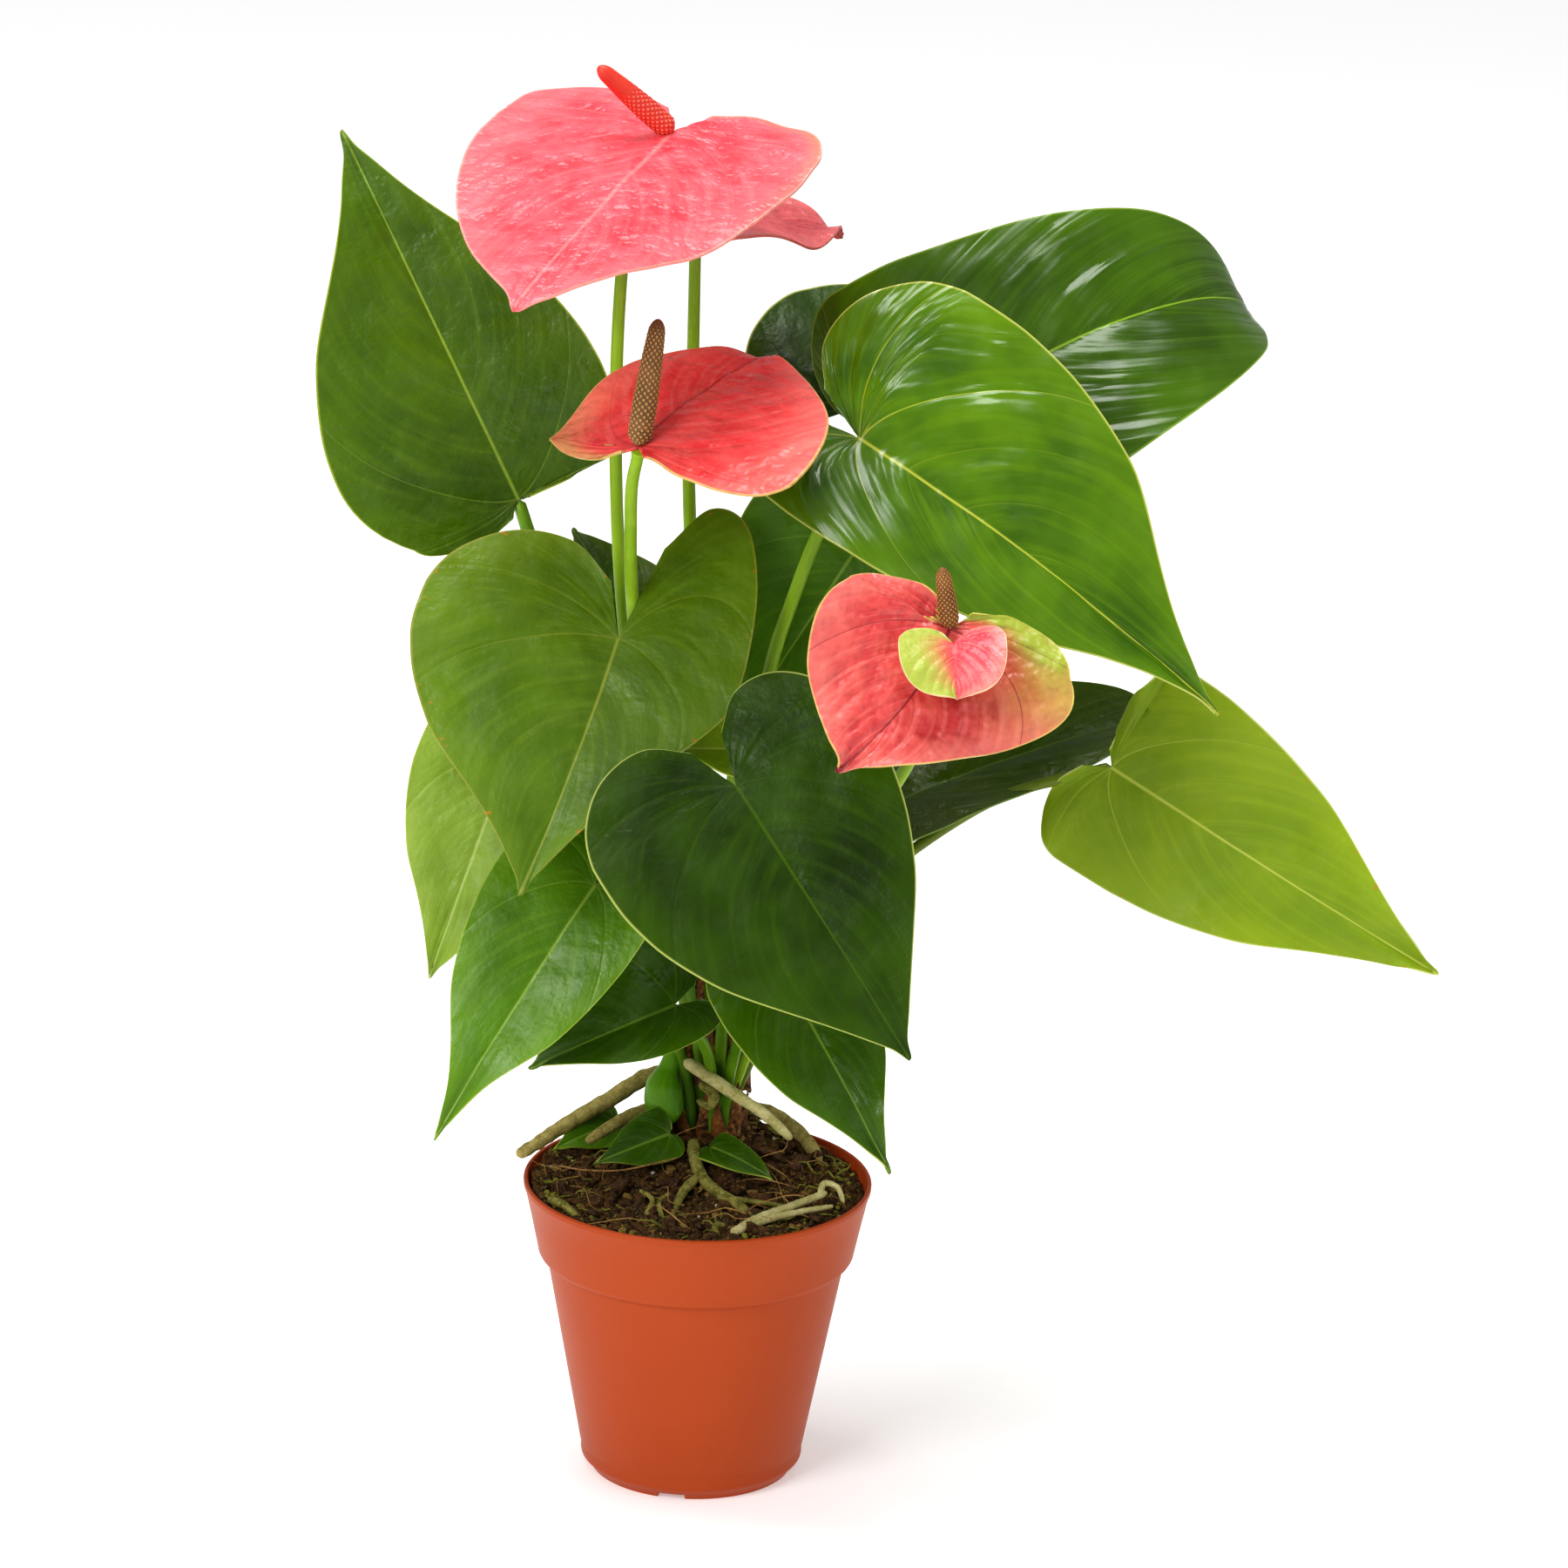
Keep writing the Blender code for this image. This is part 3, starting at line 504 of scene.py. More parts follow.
@dataclass(frozen=True)
class GrainFinish:
    """A dull rough skin of two or three colours in grains: root, bark, husk, soil or spike."""

    name: str
    main: str
    dark: str
    flecks: str
    grain_mm: float
    patch_mm: float = 6.0
    roughness: float = 0.85
    relief_mm: float = 0.25
    fleck_share: float = 0.5

    def material(self) -> bpy.types.Material:
        """Builds the skin.

        Returns:
            The material.
        """
        made, tree, shader = new_material(self.name, self.roughness, Specular_IOR_Level=0.3)
        spot = node(tree, "ShaderNodeTexCoord").outputs["Object"]
        patch = node(tree, "ShaderNodeTexNoise", {
            "Vector": spot, "Scale": 1 / (self.patch_mm * MM), "Detail": 4.0, "Roughness": 0.65})
        share = node(tree, "ShaderNodeMapRange", {
            "Value": patch.outputs[0], "From Min": 0.36, "From Max": 0.62}).outputs[0]
        base = node(tree, "ShaderNodeMix", {0: share, 6: linear(self.dark), 7: linear(self.main)},
                    data_type="RGBA").outputs[2]
        grain = node(tree, "ShaderNodeTexNoise", {
            "Vector": spot, "Scale": 1 / (self.grain_mm * MM), "Detail": 3.0, "Roughness": 0.7})
        fleck = node(tree, "ShaderNodeMapRange", {
            "Value": grain.outputs[0], "From Min": 0.5, "From Max": 0.72, "To Max": self.fleck_share})
        base = node(tree, "ShaderNodeMix", {0: fleck.outputs[0], 6: base, 7: linear(self.flecks)},
                    data_type="RGBA").outputs[2]
        tree.links.new(base, shader.inputs["Base Color"])
        rough = node(tree, "ShaderNodeBump", {
            "Height": grain.outputs[0], "Distance": self.relief_mm * MM, "Strength": 0.9})
        tree.links.new(rough.outputs[0], shader.inputs["Normal"])
        return made


@dataclass(frozen=True)
class SpikeFinish:
    """The skin of a flower spike: a pale floret on each bump, with the darker spike between."""

    name: str
    floret: str
    between: str
    tip: str
    roughness: float = 0.45

    def spike(self) -> bpy.types.Material:
        """Builds the skin from the spike's own floret map.

        Returns:
            The material.
        """
        made, tree, shader = new_material(self.name, self.roughness, Specular_IOR_Level=0.35)
        floret = node(tree, "ShaderNodeAttribute", attribute_name="floret").outputs["Fac"]
        spot = node(tree, "ShaderNodeTexCoord").outputs["Object"]
        slow = node(tree, "ShaderNodeTexNoise", {"Vector": spot, "Scale": 1 / SPIKE_PATCH, "Detail": 4.0})
        plain = node(tree, "ShaderNodeMix", {
            0: slow.outputs[0], 6: linear(self.between), 7: linear(self.tip)},
            data_type="RGBA").outputs[2]
        dot = node(tree, "ShaderNodeMapRange", {
            "Value": floret, "From Min": 0.45, "From Max": 0.9}).outputs[0]
        base = node(tree, "ShaderNodeMix", {0: dot, 6: plain, 7: linear(self.floret)}, data_type="RGBA")
        tree.links.new(base.outputs[2], shader.inputs["Base Color"])
        return made


ROOT_SKIN = GrainFinish("root_velamen", "B0A060", "7E7032", "D4C694",
                        grain_mm=0.9, patch_mm=4, relief_mm=0.45)
MOSSY_ROOT = GrainFinish("root_mossy", "948C48", "565418", "C4BA70",
                         grain_mm=0.7, patch_mm=3, relief_mm=0.5)
PALE_ROOT = GrainFinish("root_pale", "CCC28C", "A39A58", "E6DEB6",
                        grain_mm=1.0, patch_mm=5, relief_mm=0.35)
PEAT = GrainFinish("potting_peat", "5A3C1A", "180C05", "B49458", grain_mm=0.8, patch_mm=4,
                   roughness=0.95, relief_mm=0.6, fleck_share=0.55)
BARK_CHIP = GrainFinish("bark_chip", "5C3E22", "2A180C", "8E6A40", grain_mm=0.7, patch_mm=3)
PALE_CHIP = GrainFinish("pale_bark_chip", "94743E", "5C4420", "BCA05C", grain_mm=0.7, patch_mm=3)
PERLITE = GrainFinish("perlite", "E6E0D2", "C9C0AC", "F6F2E8", grain_mm=0.6, patch_mm=2, fleck_share=0.4)
FIBRE = GrainFinish("coir_fibre", "B08A50", "7E5A2C", "D2B27C", grain_mm=0.8, patch_mm=3, relief_mm=0.05)
MOSS = GrainFinish("moss", "8C8A34", "5C5E18", "BAB464", grain_mm=0.6, patch_mm=3, relief_mm=0.3)
HUSK = GrainFinish("dry_sheath", "8A5420", "2E1606", "D09A48", grain_mm=1.6, patch_mm=4,
                   roughness=0.6, relief_mm=0.12)
CROWN_BARK = GrainFinish("crown_bark", "4E3218", "24140A", "7C5C30", grain_mm=1.2, patch_mm=4)
RED_SPIKE = SpikeFinish("spadix_orange_red", "F29080", "C02C2C", "DC4A2C", roughness=0.4)
BROWN_SPIKE = SpikeFinish("spadix_brown", "C4A45A", "4A320C", "A0704C", roughness=0.6)
GOLD_SPIKE = SpikeFinish("spadix_golden_brown", "CC9E58", "5C3410", "9C6A3C", roughness=0.55)


@dataclass(frozen=True)
class MouldedPlastic:
    """Injection-moulded polypropylene, coloured right through: satin, with a barely uneven skin."""

    name: str = "terracotta_polypropylene"
    body: str = "AE4A1C"
    dusty: str = "A44216"
    roughness: float = 0.46
    grain_mm: float = 0.6

    def material(self) -> bpy.types.Material:
        """Builds the plastic.

        Returns:
            The material.
        """
        made, tree, shader = new_material(self.name, self.roughness, IOR=1.49, Specular_IOR_Level=0.22)
        spot = node(tree, "ShaderNodeTexCoord").outputs["Object"]
        slow = node(tree, "ShaderNodeTexNoise", {"Vector": spot, "Scale": WALL_CELLS, "Detail": 4.0})
        base = node(tree, "ShaderNodeMix", {
            0: slow.outputs[0], 6: linear(self.dusty), 7: linear(self.body)}, data_type="RGBA").outputs[2]
        tree.links.new(base, shader.inputs["Base Color"])
        grain = node(tree, "ShaderNodeTexNoise", {"Vector": spot, "Scale": 1 / (self.grain_mm * MM)})
        skin = node(tree, "ShaderNodeBump", {
            "Height": grain.outputs[0], "Distance": 0.03 * MM, "Strength": 0.5})
        wave = node(tree, "ShaderNodeBump", {
            "Height": slow.outputs[0], "Distance": 0.5 * MM, "Strength": 0.35, "Normal": skin.outputs[0]})
        tree.links.new(wave.outputs[0], shader.inputs["Normal"])
        return made


# ------------------------------------------------------------------------------ modelling help


def deselect() -> None:
    """Deselects every object, because an operator acts on all that is selected."""
    bpy.ops.object.select_all(action="DESELECT")


def pick(piece: bpy.types.Object) -> None:
    """Makes piece the only selected object and the active one."""
    deselect()
    piece.select_set(True)
    bpy.context.view_layer.objects.active = piece


def named(name: str) -> bpy.types.Object:
    """Names the object that a primitive operator has just made, and returns it.

    Args:
        name: the name of the object and of its mesh.

    Returns:
        The object.
    """
    made = bpy.context.object
    made.name = name
    made.data.name = name
    return made


def corners(piece: bpy.types.Object) -> np.ndarray:
    """The places of a mesh's vertices, as an array of n by 3.

    Args:
        piece: the mesh object.

    Returns:
        The places, in metres.
    """
    flat = np.zeros(len(piece.data.vertices) * 3)
    piece.data.vertices.foreach_get("co", flat)
    return flat.reshape(-1, 3)


def place_corners(piece: bpy.types.Object, places: np.ndarray) -> None:
    """Moves a mesh's vertices to an array of places."""
    piece.data.vertices.foreach_set("co", places.reshape(-1).astype(np.float32))
    piece.data.update()


def apply_all(piece: bpy.types.Object) -> None:
    """Applies the piece's modifiers in order."""
    pick(piece)
    for modifier in list(piece.modifiers):
        bpy.ops.object.modifier_apply(modifier=modifier.name)


def smooth(piece: bpy.types.Object, angle: float = 50.0) -> None:
    """Shades smooth up to an angle in degrees between faces."""
    pick(piece)
    bpy.ops.object.shade_smooth_by_angle(angle=radians(angle))


def settle(piece: bpy.types.Object, slot: Slot, *nodes: str) -> None:
    """Fixes a finished piece in the frame and reports it.

    Args:
        piece: the finished piece.
        slot: the material slot meant for the piece; not used.
        nodes: the CAD nodes that it stands for.
    """
    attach(piece, "root")
    if nodes:
        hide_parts(*nodes)
    log.info("%s: %d faces, for %s", piece.name, len(piece.data.polygons), nodes or "no node")


def dress(piece: bpy.types.Object, material: bpy.types.Material, angle: float, slot: Slot,
          *nodes: str) -> None:
    """Gives a finished piece its material, shades it smooth and settles it.

    Args:
        piece: the finished piece.
        material: what it is made of.
        angle: the angle between faces, in degrees, up to which it is shaded smooth.
        slot: the material slot meant for the piece, handed on to settle().
        nodes: the CAD nodes that it stands for.
    """
    piece.data.materials.append(material)
    smooth(piece, angle)
    settle(piece, slot, *nodes)


def vertex_values(piece: bpy.types.Object, name: str, values: np.ndarray) -> None:
    """Stores one value for each vertex as an attribute."""
    layer = piece.data.attributes.new(name, "FLOAT", "POINT")
    layer.data.foreach_set("value", values.astype(np.float32))


def corner_map(piece: bpy.types.Object, name: str, values: np.ndarray) -> None:
    """Stores a pair of values for each vertex as a UV map.

    Args:
        piece: the mesh object.
        name: the map's name.
        values: an array of n by 2.
    """
    index = np.zeros(len(piece.data.loops), dtype=int)
    piece.data.loops.foreach_get("vertex_index", index)
    layer = piece.data.uv_layers.new(name=name)
    layer.data.foreach_set("uv", values[index].reshape(-1).astype(np.float32))


def spline(knots: np.ndarray, share: np.ndarray, before: np.ndarray, after: np.ndarray) -> np.ndarray:
    """A smooth curve through knots.

    Args:
        knots: an array of n by d.
        share: how far along to read it, 0 to 1, an array of m.
        before: the phantom knot ahead of the first.
        after: the phantom knot past the last.

    Returns:
        The points, m by d.
    """
    ends = np.vstack([before, knots, after])
    place = np.clip(share, 0, 1) * (len(knots) - 1)
    k = np.minimum(place.astype(int), len(knots) - 2)
    u = (place - k)[:, None]
    p = [ends[k + i] for i in range(4)]
    return 0.5 * (2 * p[1] + (p[2] - p[0]) * u + (2 * p[0] - 5 * p[1] + 4 * p[2] - p[3]) * u ** 2
                  + (3 * p[1] - p[0] - 3 * p[2] + p[3]) * u ** 3)


def crown_place(place: Place) -> np.ndarray:
    """A place in mm from the crown point as metres in the frame."""
    return np.array(CROWN) + np.array(place, float) * MM


def out_of_crown(root: Pair) -> list[np.ndarray]:
    """A stalk's first two places: inside the crown, and just above it at root, in mm."""
    x, y = root
    return [crown_place((0.8 * x, 0.8 * y, -4)),
            crown_place((x, y, (CROWN_HEIGHT + CROWN_CLEARANCE) / MM))]


def smoothstep(values: np.ndarray, low: float, high: float) -> np.ndarray:
    """Rises smoothly from 0 at low to 1 at high."""
    share = np.clip((values - low) / (high - low), 0, 1)
    return share * share * (3 - 2 * share)


def ripple(places: np.ndarray, size: float, seed: float = 0.0) -> np.ndarray:
    """Smooth noise, about -1 to 1, at each place.

    Args:
        places: an array of n by 3, in metres.
        size: how far apart its hills are, in metres.
        seed: shifts the pattern.

    Returns:
        An array of n values.
    """
    shift = Vector((seed * 7.3, seed * 3.1, seed * 5.7))
    return np.array([noise.noise(Vector(p) / size + shift) for p in places])


# ------------------------------------------------------------------------------------- blades

# Half outlines from the sinus round to the tip: across in half widths, along in blade lengths
# ahead of the stalk and in lobe lengths behind it
LEAF_OUTLINE = (
    (0.12, -0.64), (0.36, -0.98), (0.66, -0.92), (0.90, -0.50), (1.0, 0.04), (0.95, 0.27),
    (0.77, 0.48), (0.50, 0.68), (0.215, 0.86), (0.07, 0.945), (0.0, 1.0),
)
SPATHE_OUTLINE = (
    (0.12, -0.60), (0.42, -1.0), (0.76, -0.80), (0.96, -0.24), (1.0, 0.18),
    (0.84, 0.48), (0.58, 0.70), (0.30, 0.86), (0.09, 0.95), (0.0, 1.0),
)
SMALL_OUTLINE = (
    (0.10, -0.35), (0.40, -0.90), (0.80, -0.75), (1.0, -0.10), (1.02, 0.40),
    (0.88, 0.74), (0.64, 0.93), (0.36, 1.01), (0.14, 1.03), (0.0, 1.03),
)
BLUNT_OUTLINE = (*LEAF_OUTLINE[:6], (0.84, 0.50), (0.66, 0.72), (0.42, 0.89), (0.19, 0.97), (0.0, 1.0))
RIB_START = 0.40  # share of the outline whose veins all fan from the stalk end
TRIM_REACH = 0.12  # how far up the blade its trimmed shoulders reach
SPINE_STEPS = 16  # a midrib's bend is added up in this many steps
CUP = 0.45  # share of the fold that is lost by the margin
VEIN_COUNT = 10  # side veins on each half
VEIN_SWEEP = 0.15  # how far a side vein turns towards the tip by the margin
MAIN_VEINS = (2, 4)  # the strongest side veins, counted from the sinus
OTHER_VEINS = 0.22  # how strong the others are
RIB_GROOVE = 1.6 * MM  # half the width of the groove over the midrib
WAVE_START = (0.9, 2.6)  # where the margin's waves start, right and left, in radians
GAP_STEP = 0.004  # the gap between veins is measured over this share of the outline each way
CLOSER_COLUMNS = 0.85  # under 1, a blade's columns lie closer together towards the margin
SKIN_BUMPS = 24 * MM  # how far apart the bumps of a blade's uneven surface are


def sided(a: np.ndarray, pair: Pair) -> np.ndarray:
    """The right half's value where a is above 0, and the left half's elsewhere."""
    return np.where(a > 0, *pair)


def turning(along: Vector, up: Vector) -> Matrix:
    """A rotation whose Y is along and whose Z is as near up as it can be.

    Args:
        along: the way its Y runs.
        up: the way its Z should look.

    Returns:
        The rotation, 3 by 3.
    """
    y = along.normalized()
    z = (up - y * up.dot(y)).normalized()
    return Matrix((y.cross(z), y, z)).transposed()


@dataclass
class Blade:
    """The curved surface of a leaf or a flower bract.

    base and tip are its stalk end and its tip, in mm from the crown point, and face is the way
    its upper side looks. wide and lobes are its half widths and lobe lengths in mm, right then
    left, seen from that side with the tip up. arch, hook, fold, sway and trim shape it as in the
    part; wave and waves are the height in mm and the number of its margin's waves, quilt is how
    far its veins lie sunk, in mm, and pinch narrows it ahead of the tip. uneven is how far its
    surface strays, in mm. droop lowers the left lobe, in degrees, slim narrows the left half
    ahead of the lobe, and spread moves the right lobe outwards, both in shares. thickness is in
    mm.
    """

    base: Place
    tip: Place
    face: Place
    wide: Pair
    lobes: Pair
    outline: tuple[Pair, ...] = LEAF_OUTLINE
    arch: float = 14.0
    fold: float = 8.0
    sway: float = 0.0
    hook: float = 0.0
    trim: float = 0.0
    wave: float = 0.9
    waves: float = 2.5
    quilt: float = 0.08
    pinch: float = 0.0
    uneven: float = 0.9
    droop: float = 0.0
    slim: float = 0.0
    spread: float = 0.0
    thickness: float = 0.55
    columns: int = 26
    rows: int = 96

    def __post_init__(self) -> None:
        """Works out the midrib's length and the blade's turn from its two ends."""
        self.start = crown_place(self.base)
        chord = crown_place(self.tip) - self.start
        self.length = float(np.linalg.norm(chord))
        tip_flat = np.array([0.0]), np.array([1.0])
        reached = np.linalg.norm(self.bent(*tip_flat, np.zeros(1))[0])
        self.length *= float(np.linalg.norm(chord)) / reached
        own = self.bent(*tip_flat, np.zeros(1))[0]
        laid = turning(Vector(own), Vector((0, 0, 1)))
        self.turn = np.array(turning(Vector(chord), Vector(self.face)) @ laid.transposed())
        self.normal = self.turn @ np.array([0.0, 0.0, 1.0])

    def slope(self, y: np.ndarray) -> np.ndarray:
        """How far the midrib has bent down at y: evenly, then more and more towards the tip."""
        return radians(self.arch) * y + radians(self.hook) * np.maximum(y, 0) ** 3

    def bent(self, x: np.ndarray, y: np.ndarray, lift: np.ndarray) -> np.ndarray:
        """Bends flat places onto the arched blade.

        Args:
            x: across, in metres.
            y: along, in shares of the length.
            lift: how far each place stands off the flat, in metres.

        Returns:
            The places before the blade's turn, n by 3.
        """
        step = self.length * y / SPINE_STEPS
        run = np.zeros_like(y)
        drop = np.zeros_like(y)
        for i in range(SPINE_STEPS):
            slope = self.slope(y * (i + 0.5) / SPINE_STEPS)
            run += step * np.cos(slope)
            drop -= step * np.sin(slope)
        turn = self.slope(y)
        reach = np.maximum(self.length * y, 0)
        across = x + np.tan(radians(self.sway)) * reach ** 2 / self.length
        return np.stack([across, run + lift * np.sin(turn), drop + lift * np.cos(turn)], 1)

    def flat(self, t: np.ndarray, a: np.ndarray) -> tuple[np.ndarray, np.ndarray]:
        """The flat place, across in metres and along in lengths, at t along the outline.

        Args:
            t: the share along the outline, from sinus to tip.
            a: the share across to the margin, above 0 on the right half.

        Returns:
            Two arrays: across in metres, and along in lengths.
        """
        knots = np.array(self.outline, float)
        after = np.array([-knots[-2][0], knots[-2][1]])
        rim = spline(knots, t, 2 * knots[0] - knots[1], after)
        edge = np.abs(a)
        half = sided(a, self.wide) * MM
        lobe = sided(a, self.lobes) * MM
        rib = np.maximum(0, (t - RIB_START) / (1 - RIB_START)) ** 1.15
        x = rim[:, 0] * edge * half * np.sign(a)
        x = x * (1 - self.trim * np.exp(-np.maximum(rim[:, 1], 0) / TRIM_REACH))
        x = x * (1 - self.pinch * smoothstep(rim[:, 1], 0.5, 0.9))
        x = np.where(a > 0, x * (1 + self.spread * np.maximum(-rim[:, 1], 0)),
                     x * (1 - self.slim * smoothstep(rim[:, 1], 0.1, 0.6)))
        y = rib + (rim[:, 1] - rib) * edge
        return x, np.where(y < 0, y * lobe / self.length, y)

    def phase(self, t: np.ndarray, a: np.ndarray) -> np.ndarray:
        """Counts the side veins: a vein runs wherever this is a whole number."""
        return VEIN_COUNT * (t - VEIN_SWEEP * np.abs(a) ** 1.5)

    def surface(self, t: np.ndarray, a: np.ndarray) -> np.ndarray:
        """The places of the blade's middle surface in the frame, n by 3.

        Args:
            t: the share along the outline, from sinus to tip.
            a: the share across to the margin, above 0 on the right half.

        Returns:
            The places, in metres.
        """
        x, y = self.flat(t, a)
        edge = np.abs(a)
        half = sided(a, self.wide) * MM
        lift = np.tan(radians(self.fold)) * np.abs(x) * (1 - CUP * np.abs(x) / half)
        lift -= np.tan(radians(self.droop)) * np.maximum(-x, 0) * (1 - smoothstep(y, 0.05, 0.5))
        lift += self.wave * MM * edge ** 3 * np.sin(2 * pi * self.waves * t + sided(a, WAVE_START))
        whole = self.phase(t, a)
        sunk = np.cos(pi * (whole - np.round(whole))) ** 4 * smoothstep(edge, 0.05, 0.3)
        sunk = sunk * (1 - smoothstep(edge, 0.75, 1.0)) + 0.9 * np.exp(-(x / RIB_GROOVE) ** 2)
        lift -= self.quilt * MM * sunk
        return self.start + self.bent(x, y, lift) @ self.turn.T

    def build(self, name: str, finish: BladeFinish) -> bpy.types.Object:
        """Models the blade: a grid drawn out to the outline and bends, then thickened.

        Args:
            name: the piece's name.
            finish: its look.

        Returns:
            The finished object.
        """
        deselect()
        bpy.ops.mesh.primitive_grid_add(
            x_subdivisions=2 * self.columns, y_subdivisions=self.rows, size=2, location=(0, 0, 0))
        piece = named(name)
        start = corners(piece)
        t = (start[:, 1] + 1) / 2
        a = np.sign(start[:, 0]) * np.abs(start[:, 0]) ** CLOSER_COLUMNS
        ahead, behind = np.minimum(t + GAP_STEP, 1), np.maximum(t - GAP_STEP, 0)
        apart = np.linalg.norm(self.surface(ahead, a) - self.surface(behind, a), axis=1)
        gap = apart / ((ahead - behind) * VEIN_COUNT)
        whole = np.round(self.phase(t, a))
        strength = np.where(np.isin(whole, MAIN_VEINS), 1.0, OTHER_VEINS)
        strength = strength * (whole > 0.5) * (whole < VEIN_COUNT - 0.5)
        place_corners(piece, self.surface(t, a))
        x, _ = self.flat(t, a)
        corner_map(piece, "blade", np.stack([a, t], 1))
        corner_map(piece, "veins", np.stack([x, self.phase(t, a)], 1))
        vertex_values(piece, "vein_gap", gap)
        vertex_values(piece, "vein_strength", strength)
        bpy.ops.object.mode_set(mode="EDIT")
        bpy.ops.mesh.select_all(action="SELECT")
        bpy.ops.mesh.remove_doubles(threshold=0.02 * MM)
        bpy.ops.object.mode_set(mode="OBJECT")
        roughen(piece, self.uneven * MM, SKIN_BUMPS, self.length / MM)
        skin = piece.modifiers.new("thickness", "SOLIDIFY")
        skin.thickness = self.thickness * MM
        skin.offset = 0
        skin.material_offset = 1
        piece.data.materials.append(finish.upper())
        piece.data.materials.append(finish.lower())
        apply_all(piece)
        smooth(piece, 70)
        return piece


# --------------------------------------------------------------------------------------- rods


@dataclass
class Rod:
    """A round tapering body along a smooth path: a stalk, a root, a fibre or a flower spike.

    knots are the places it passes through, in metres. swell is (share along, share of the
    radius) pairs, and round_ends says whether the start and the end are rounded off.
    """

    knots: list[np.ndarray]
    radius: float
    swell: tuple[Pair, ...] = ((0.0, 1.0), (1.0, 1.0))
    sides: int = 16
    rings: int = 60
    round_ends: tuple[bool, bool] = (False, False)

    def frames(self, share: np.ndarray) -> tuple[np.ndarray, np.ndarray, np.ndarray]:
        """Centres and two cross directions at each share along the path, without twist.

        Args:
            share: how far along, from 0 to 1, an array of n.

        Returns:
            Three arrays of n by 3: the centres in metres, and the two directions.
        """
        knots = np.array(self.knots)
        centres = spline(knots, share, 2 * knots[0] - knots[1], 2 * knots[-1] - knots[-2])
        tangents = np.gradient(centres, axis=0)
        tangents /= np.linalg.norm(tangents, axis=1)[:, None]
        side = np.cross(tangents[0], FLAT_SIDE)
        sides = []
        for tangent in tangents:
            side = side - tangent * side.dot(tangent)
            side = side / np.linalg.norm(side)
            sides.append(side)
        sides = np.array(sides)
        return centres, sides, np.cross(tangents, sides)

    def radii(self, share: np.ndarray) -> np.ndarray:
        """The radius at each share along.

        Args:
            share: how far along, from 0 to 1, an array of n.

        Returns:
            The radii, in metres.
        """
        at, size = zip(*self.swell)
        radii = self.radius * np.interp(share, at, size)
        tip = 1.1 * self.radius / self.span()
        if self.round_ends[0]:
            radii = radii * np.sqrt(np.clip(1 - (1 - np.minimum(share / tip, 1)) ** 2, 0.004, 1))
        if self.round_ends[1]:
            radii = radii * np.sqrt(np.clip(1 - (1 - np.minimum((1 - share) / tip, 1)) ** 2, 0.004, 1))
        return radii

    def span(self) -> float:
        """The length of the path, knot to knot."""
        return float(sum(np.linalg.norm(np.subtract(b, a)) for a, b in zip(self.knots, self.knots[1:])))

    def build(self, name: str) -> bpy.types.Object:
        """Models the rod: a cylinder, cut into rings, drawn out along the path.

        Args:
            name: the object's name.

        Returns:
            The object, without a material.
        """
        deselect()
        bpy.ops.mesh.primitive_cylinder_add(
            vertices=self.sides, radius=1.0, depth=1.0, location=(0, 0, 0.5), end_fill_type="NGON")
        piece = named(name)
        bpy.ops.object.transform_apply(location=True, rotation=False, scale=False)
        for edge in piece.data.edges:
            low, high = (piece.data.vertices[i].co.z for i in edge.vertices)
            edge.select = abs(high - low) > 0.5  # an upright edge, not one of an end
        for face in piece.data.polygons:
            face.select = False
        bpy.ops.object.mode_set(mode="EDIT")
        bpy.ops.mesh.select_mode(type="EDGE")
        bpy.ops.mesh.subdivide(number_cuts=self.rings - 1)
        bpy.ops.object.mode_set(mode="OBJECT")
        start = corners(piece)
        ring = np.round(np.clip(start[:, 2], 0, 1) * self.rings).astype(int)
        even = np.linspace(0, 1, self.rings + 1)
        share = 0.5 * even + 0.5 * (1 - np.cos(pi * even)) / 2
        centres, first, second = self.frames(share)
        radii = self.radii(share)
        turn = np.arctan2(start[:, 1], start[:, 0])
        out = first[ring] * np.cos(turn)[:, None] + second[ring] * np.sin(turn)[:, None]
        place_corners(piece, centres[ring] + out * radii[ring][:, None])
        length = self.span()
        corner_map(piece, "stem", np.stack([np.cos(turn) * 0.5, share[ring] * length / (20 * MM)], 1))
        return piece


def roughen(piece: bpy.types.Object, height: float, size: float, seed: float) -> None:
    """Moves a mesh's vertices in and out along their normals by smooth noise.

    Args:
        piece: the mesh object.
        height: how far, in metres.
        size: how far apart the bumps are, in metres.
        seed: shifts the pattern.
    """
    places = corners(piece)
    normals = np.array([v.normal[:] for v in piece.data.vertices])
    lift = ripple(places, size, seed) + 0.5 * ripple(places, size / 2.3, seed + 4)
    place_corners(piece, places + normals * (height * lift)[:, None])


# ---------------------------------------------------------------------------------------- pot


def inner_radius(height: float) -> float:
    """The inside radius of the pot's body and band at a height, in metres.

    Args:
        height: the height above the floor, in metres.

    Returns:
        The radius, in metres.
    """
    band_bottom = POT_HEIGHT - BAND_HEIGHT
    if height > band_bottom:
        return RIM_RADIUS - WALL - BAND_DRAFT * (POT_HEIGHT - height) / BAND_HEIGHT
    neck = RIM_RADIUS - BAND_DRAFT - BAND_STEP
    share = (band_bottom - height) / (band_bottom - CORNER_HEIGHT)
    return neck - WALL - (neck - BASE_RADIUS) * share


def arc(across: float, up: float, radius: float, start: float, stop: float, count: int) -> list[Pair]:
    """Points of the wall's section on a round edge.

    Args:
        across: how far from the axis its centre is, in metres.
        up: its centre's height, in metres.
        radius: its radius, in metres.
        start: the turn of its first point, in radians up from straight out.
        stop: the turn of its last point.
        count: the number of points.

    Returns:
        (radius, height) points.
    """
    return [(across + radius * cos(a), up + radius * sin(a)) for a in np.linspace(start, stop, count)]


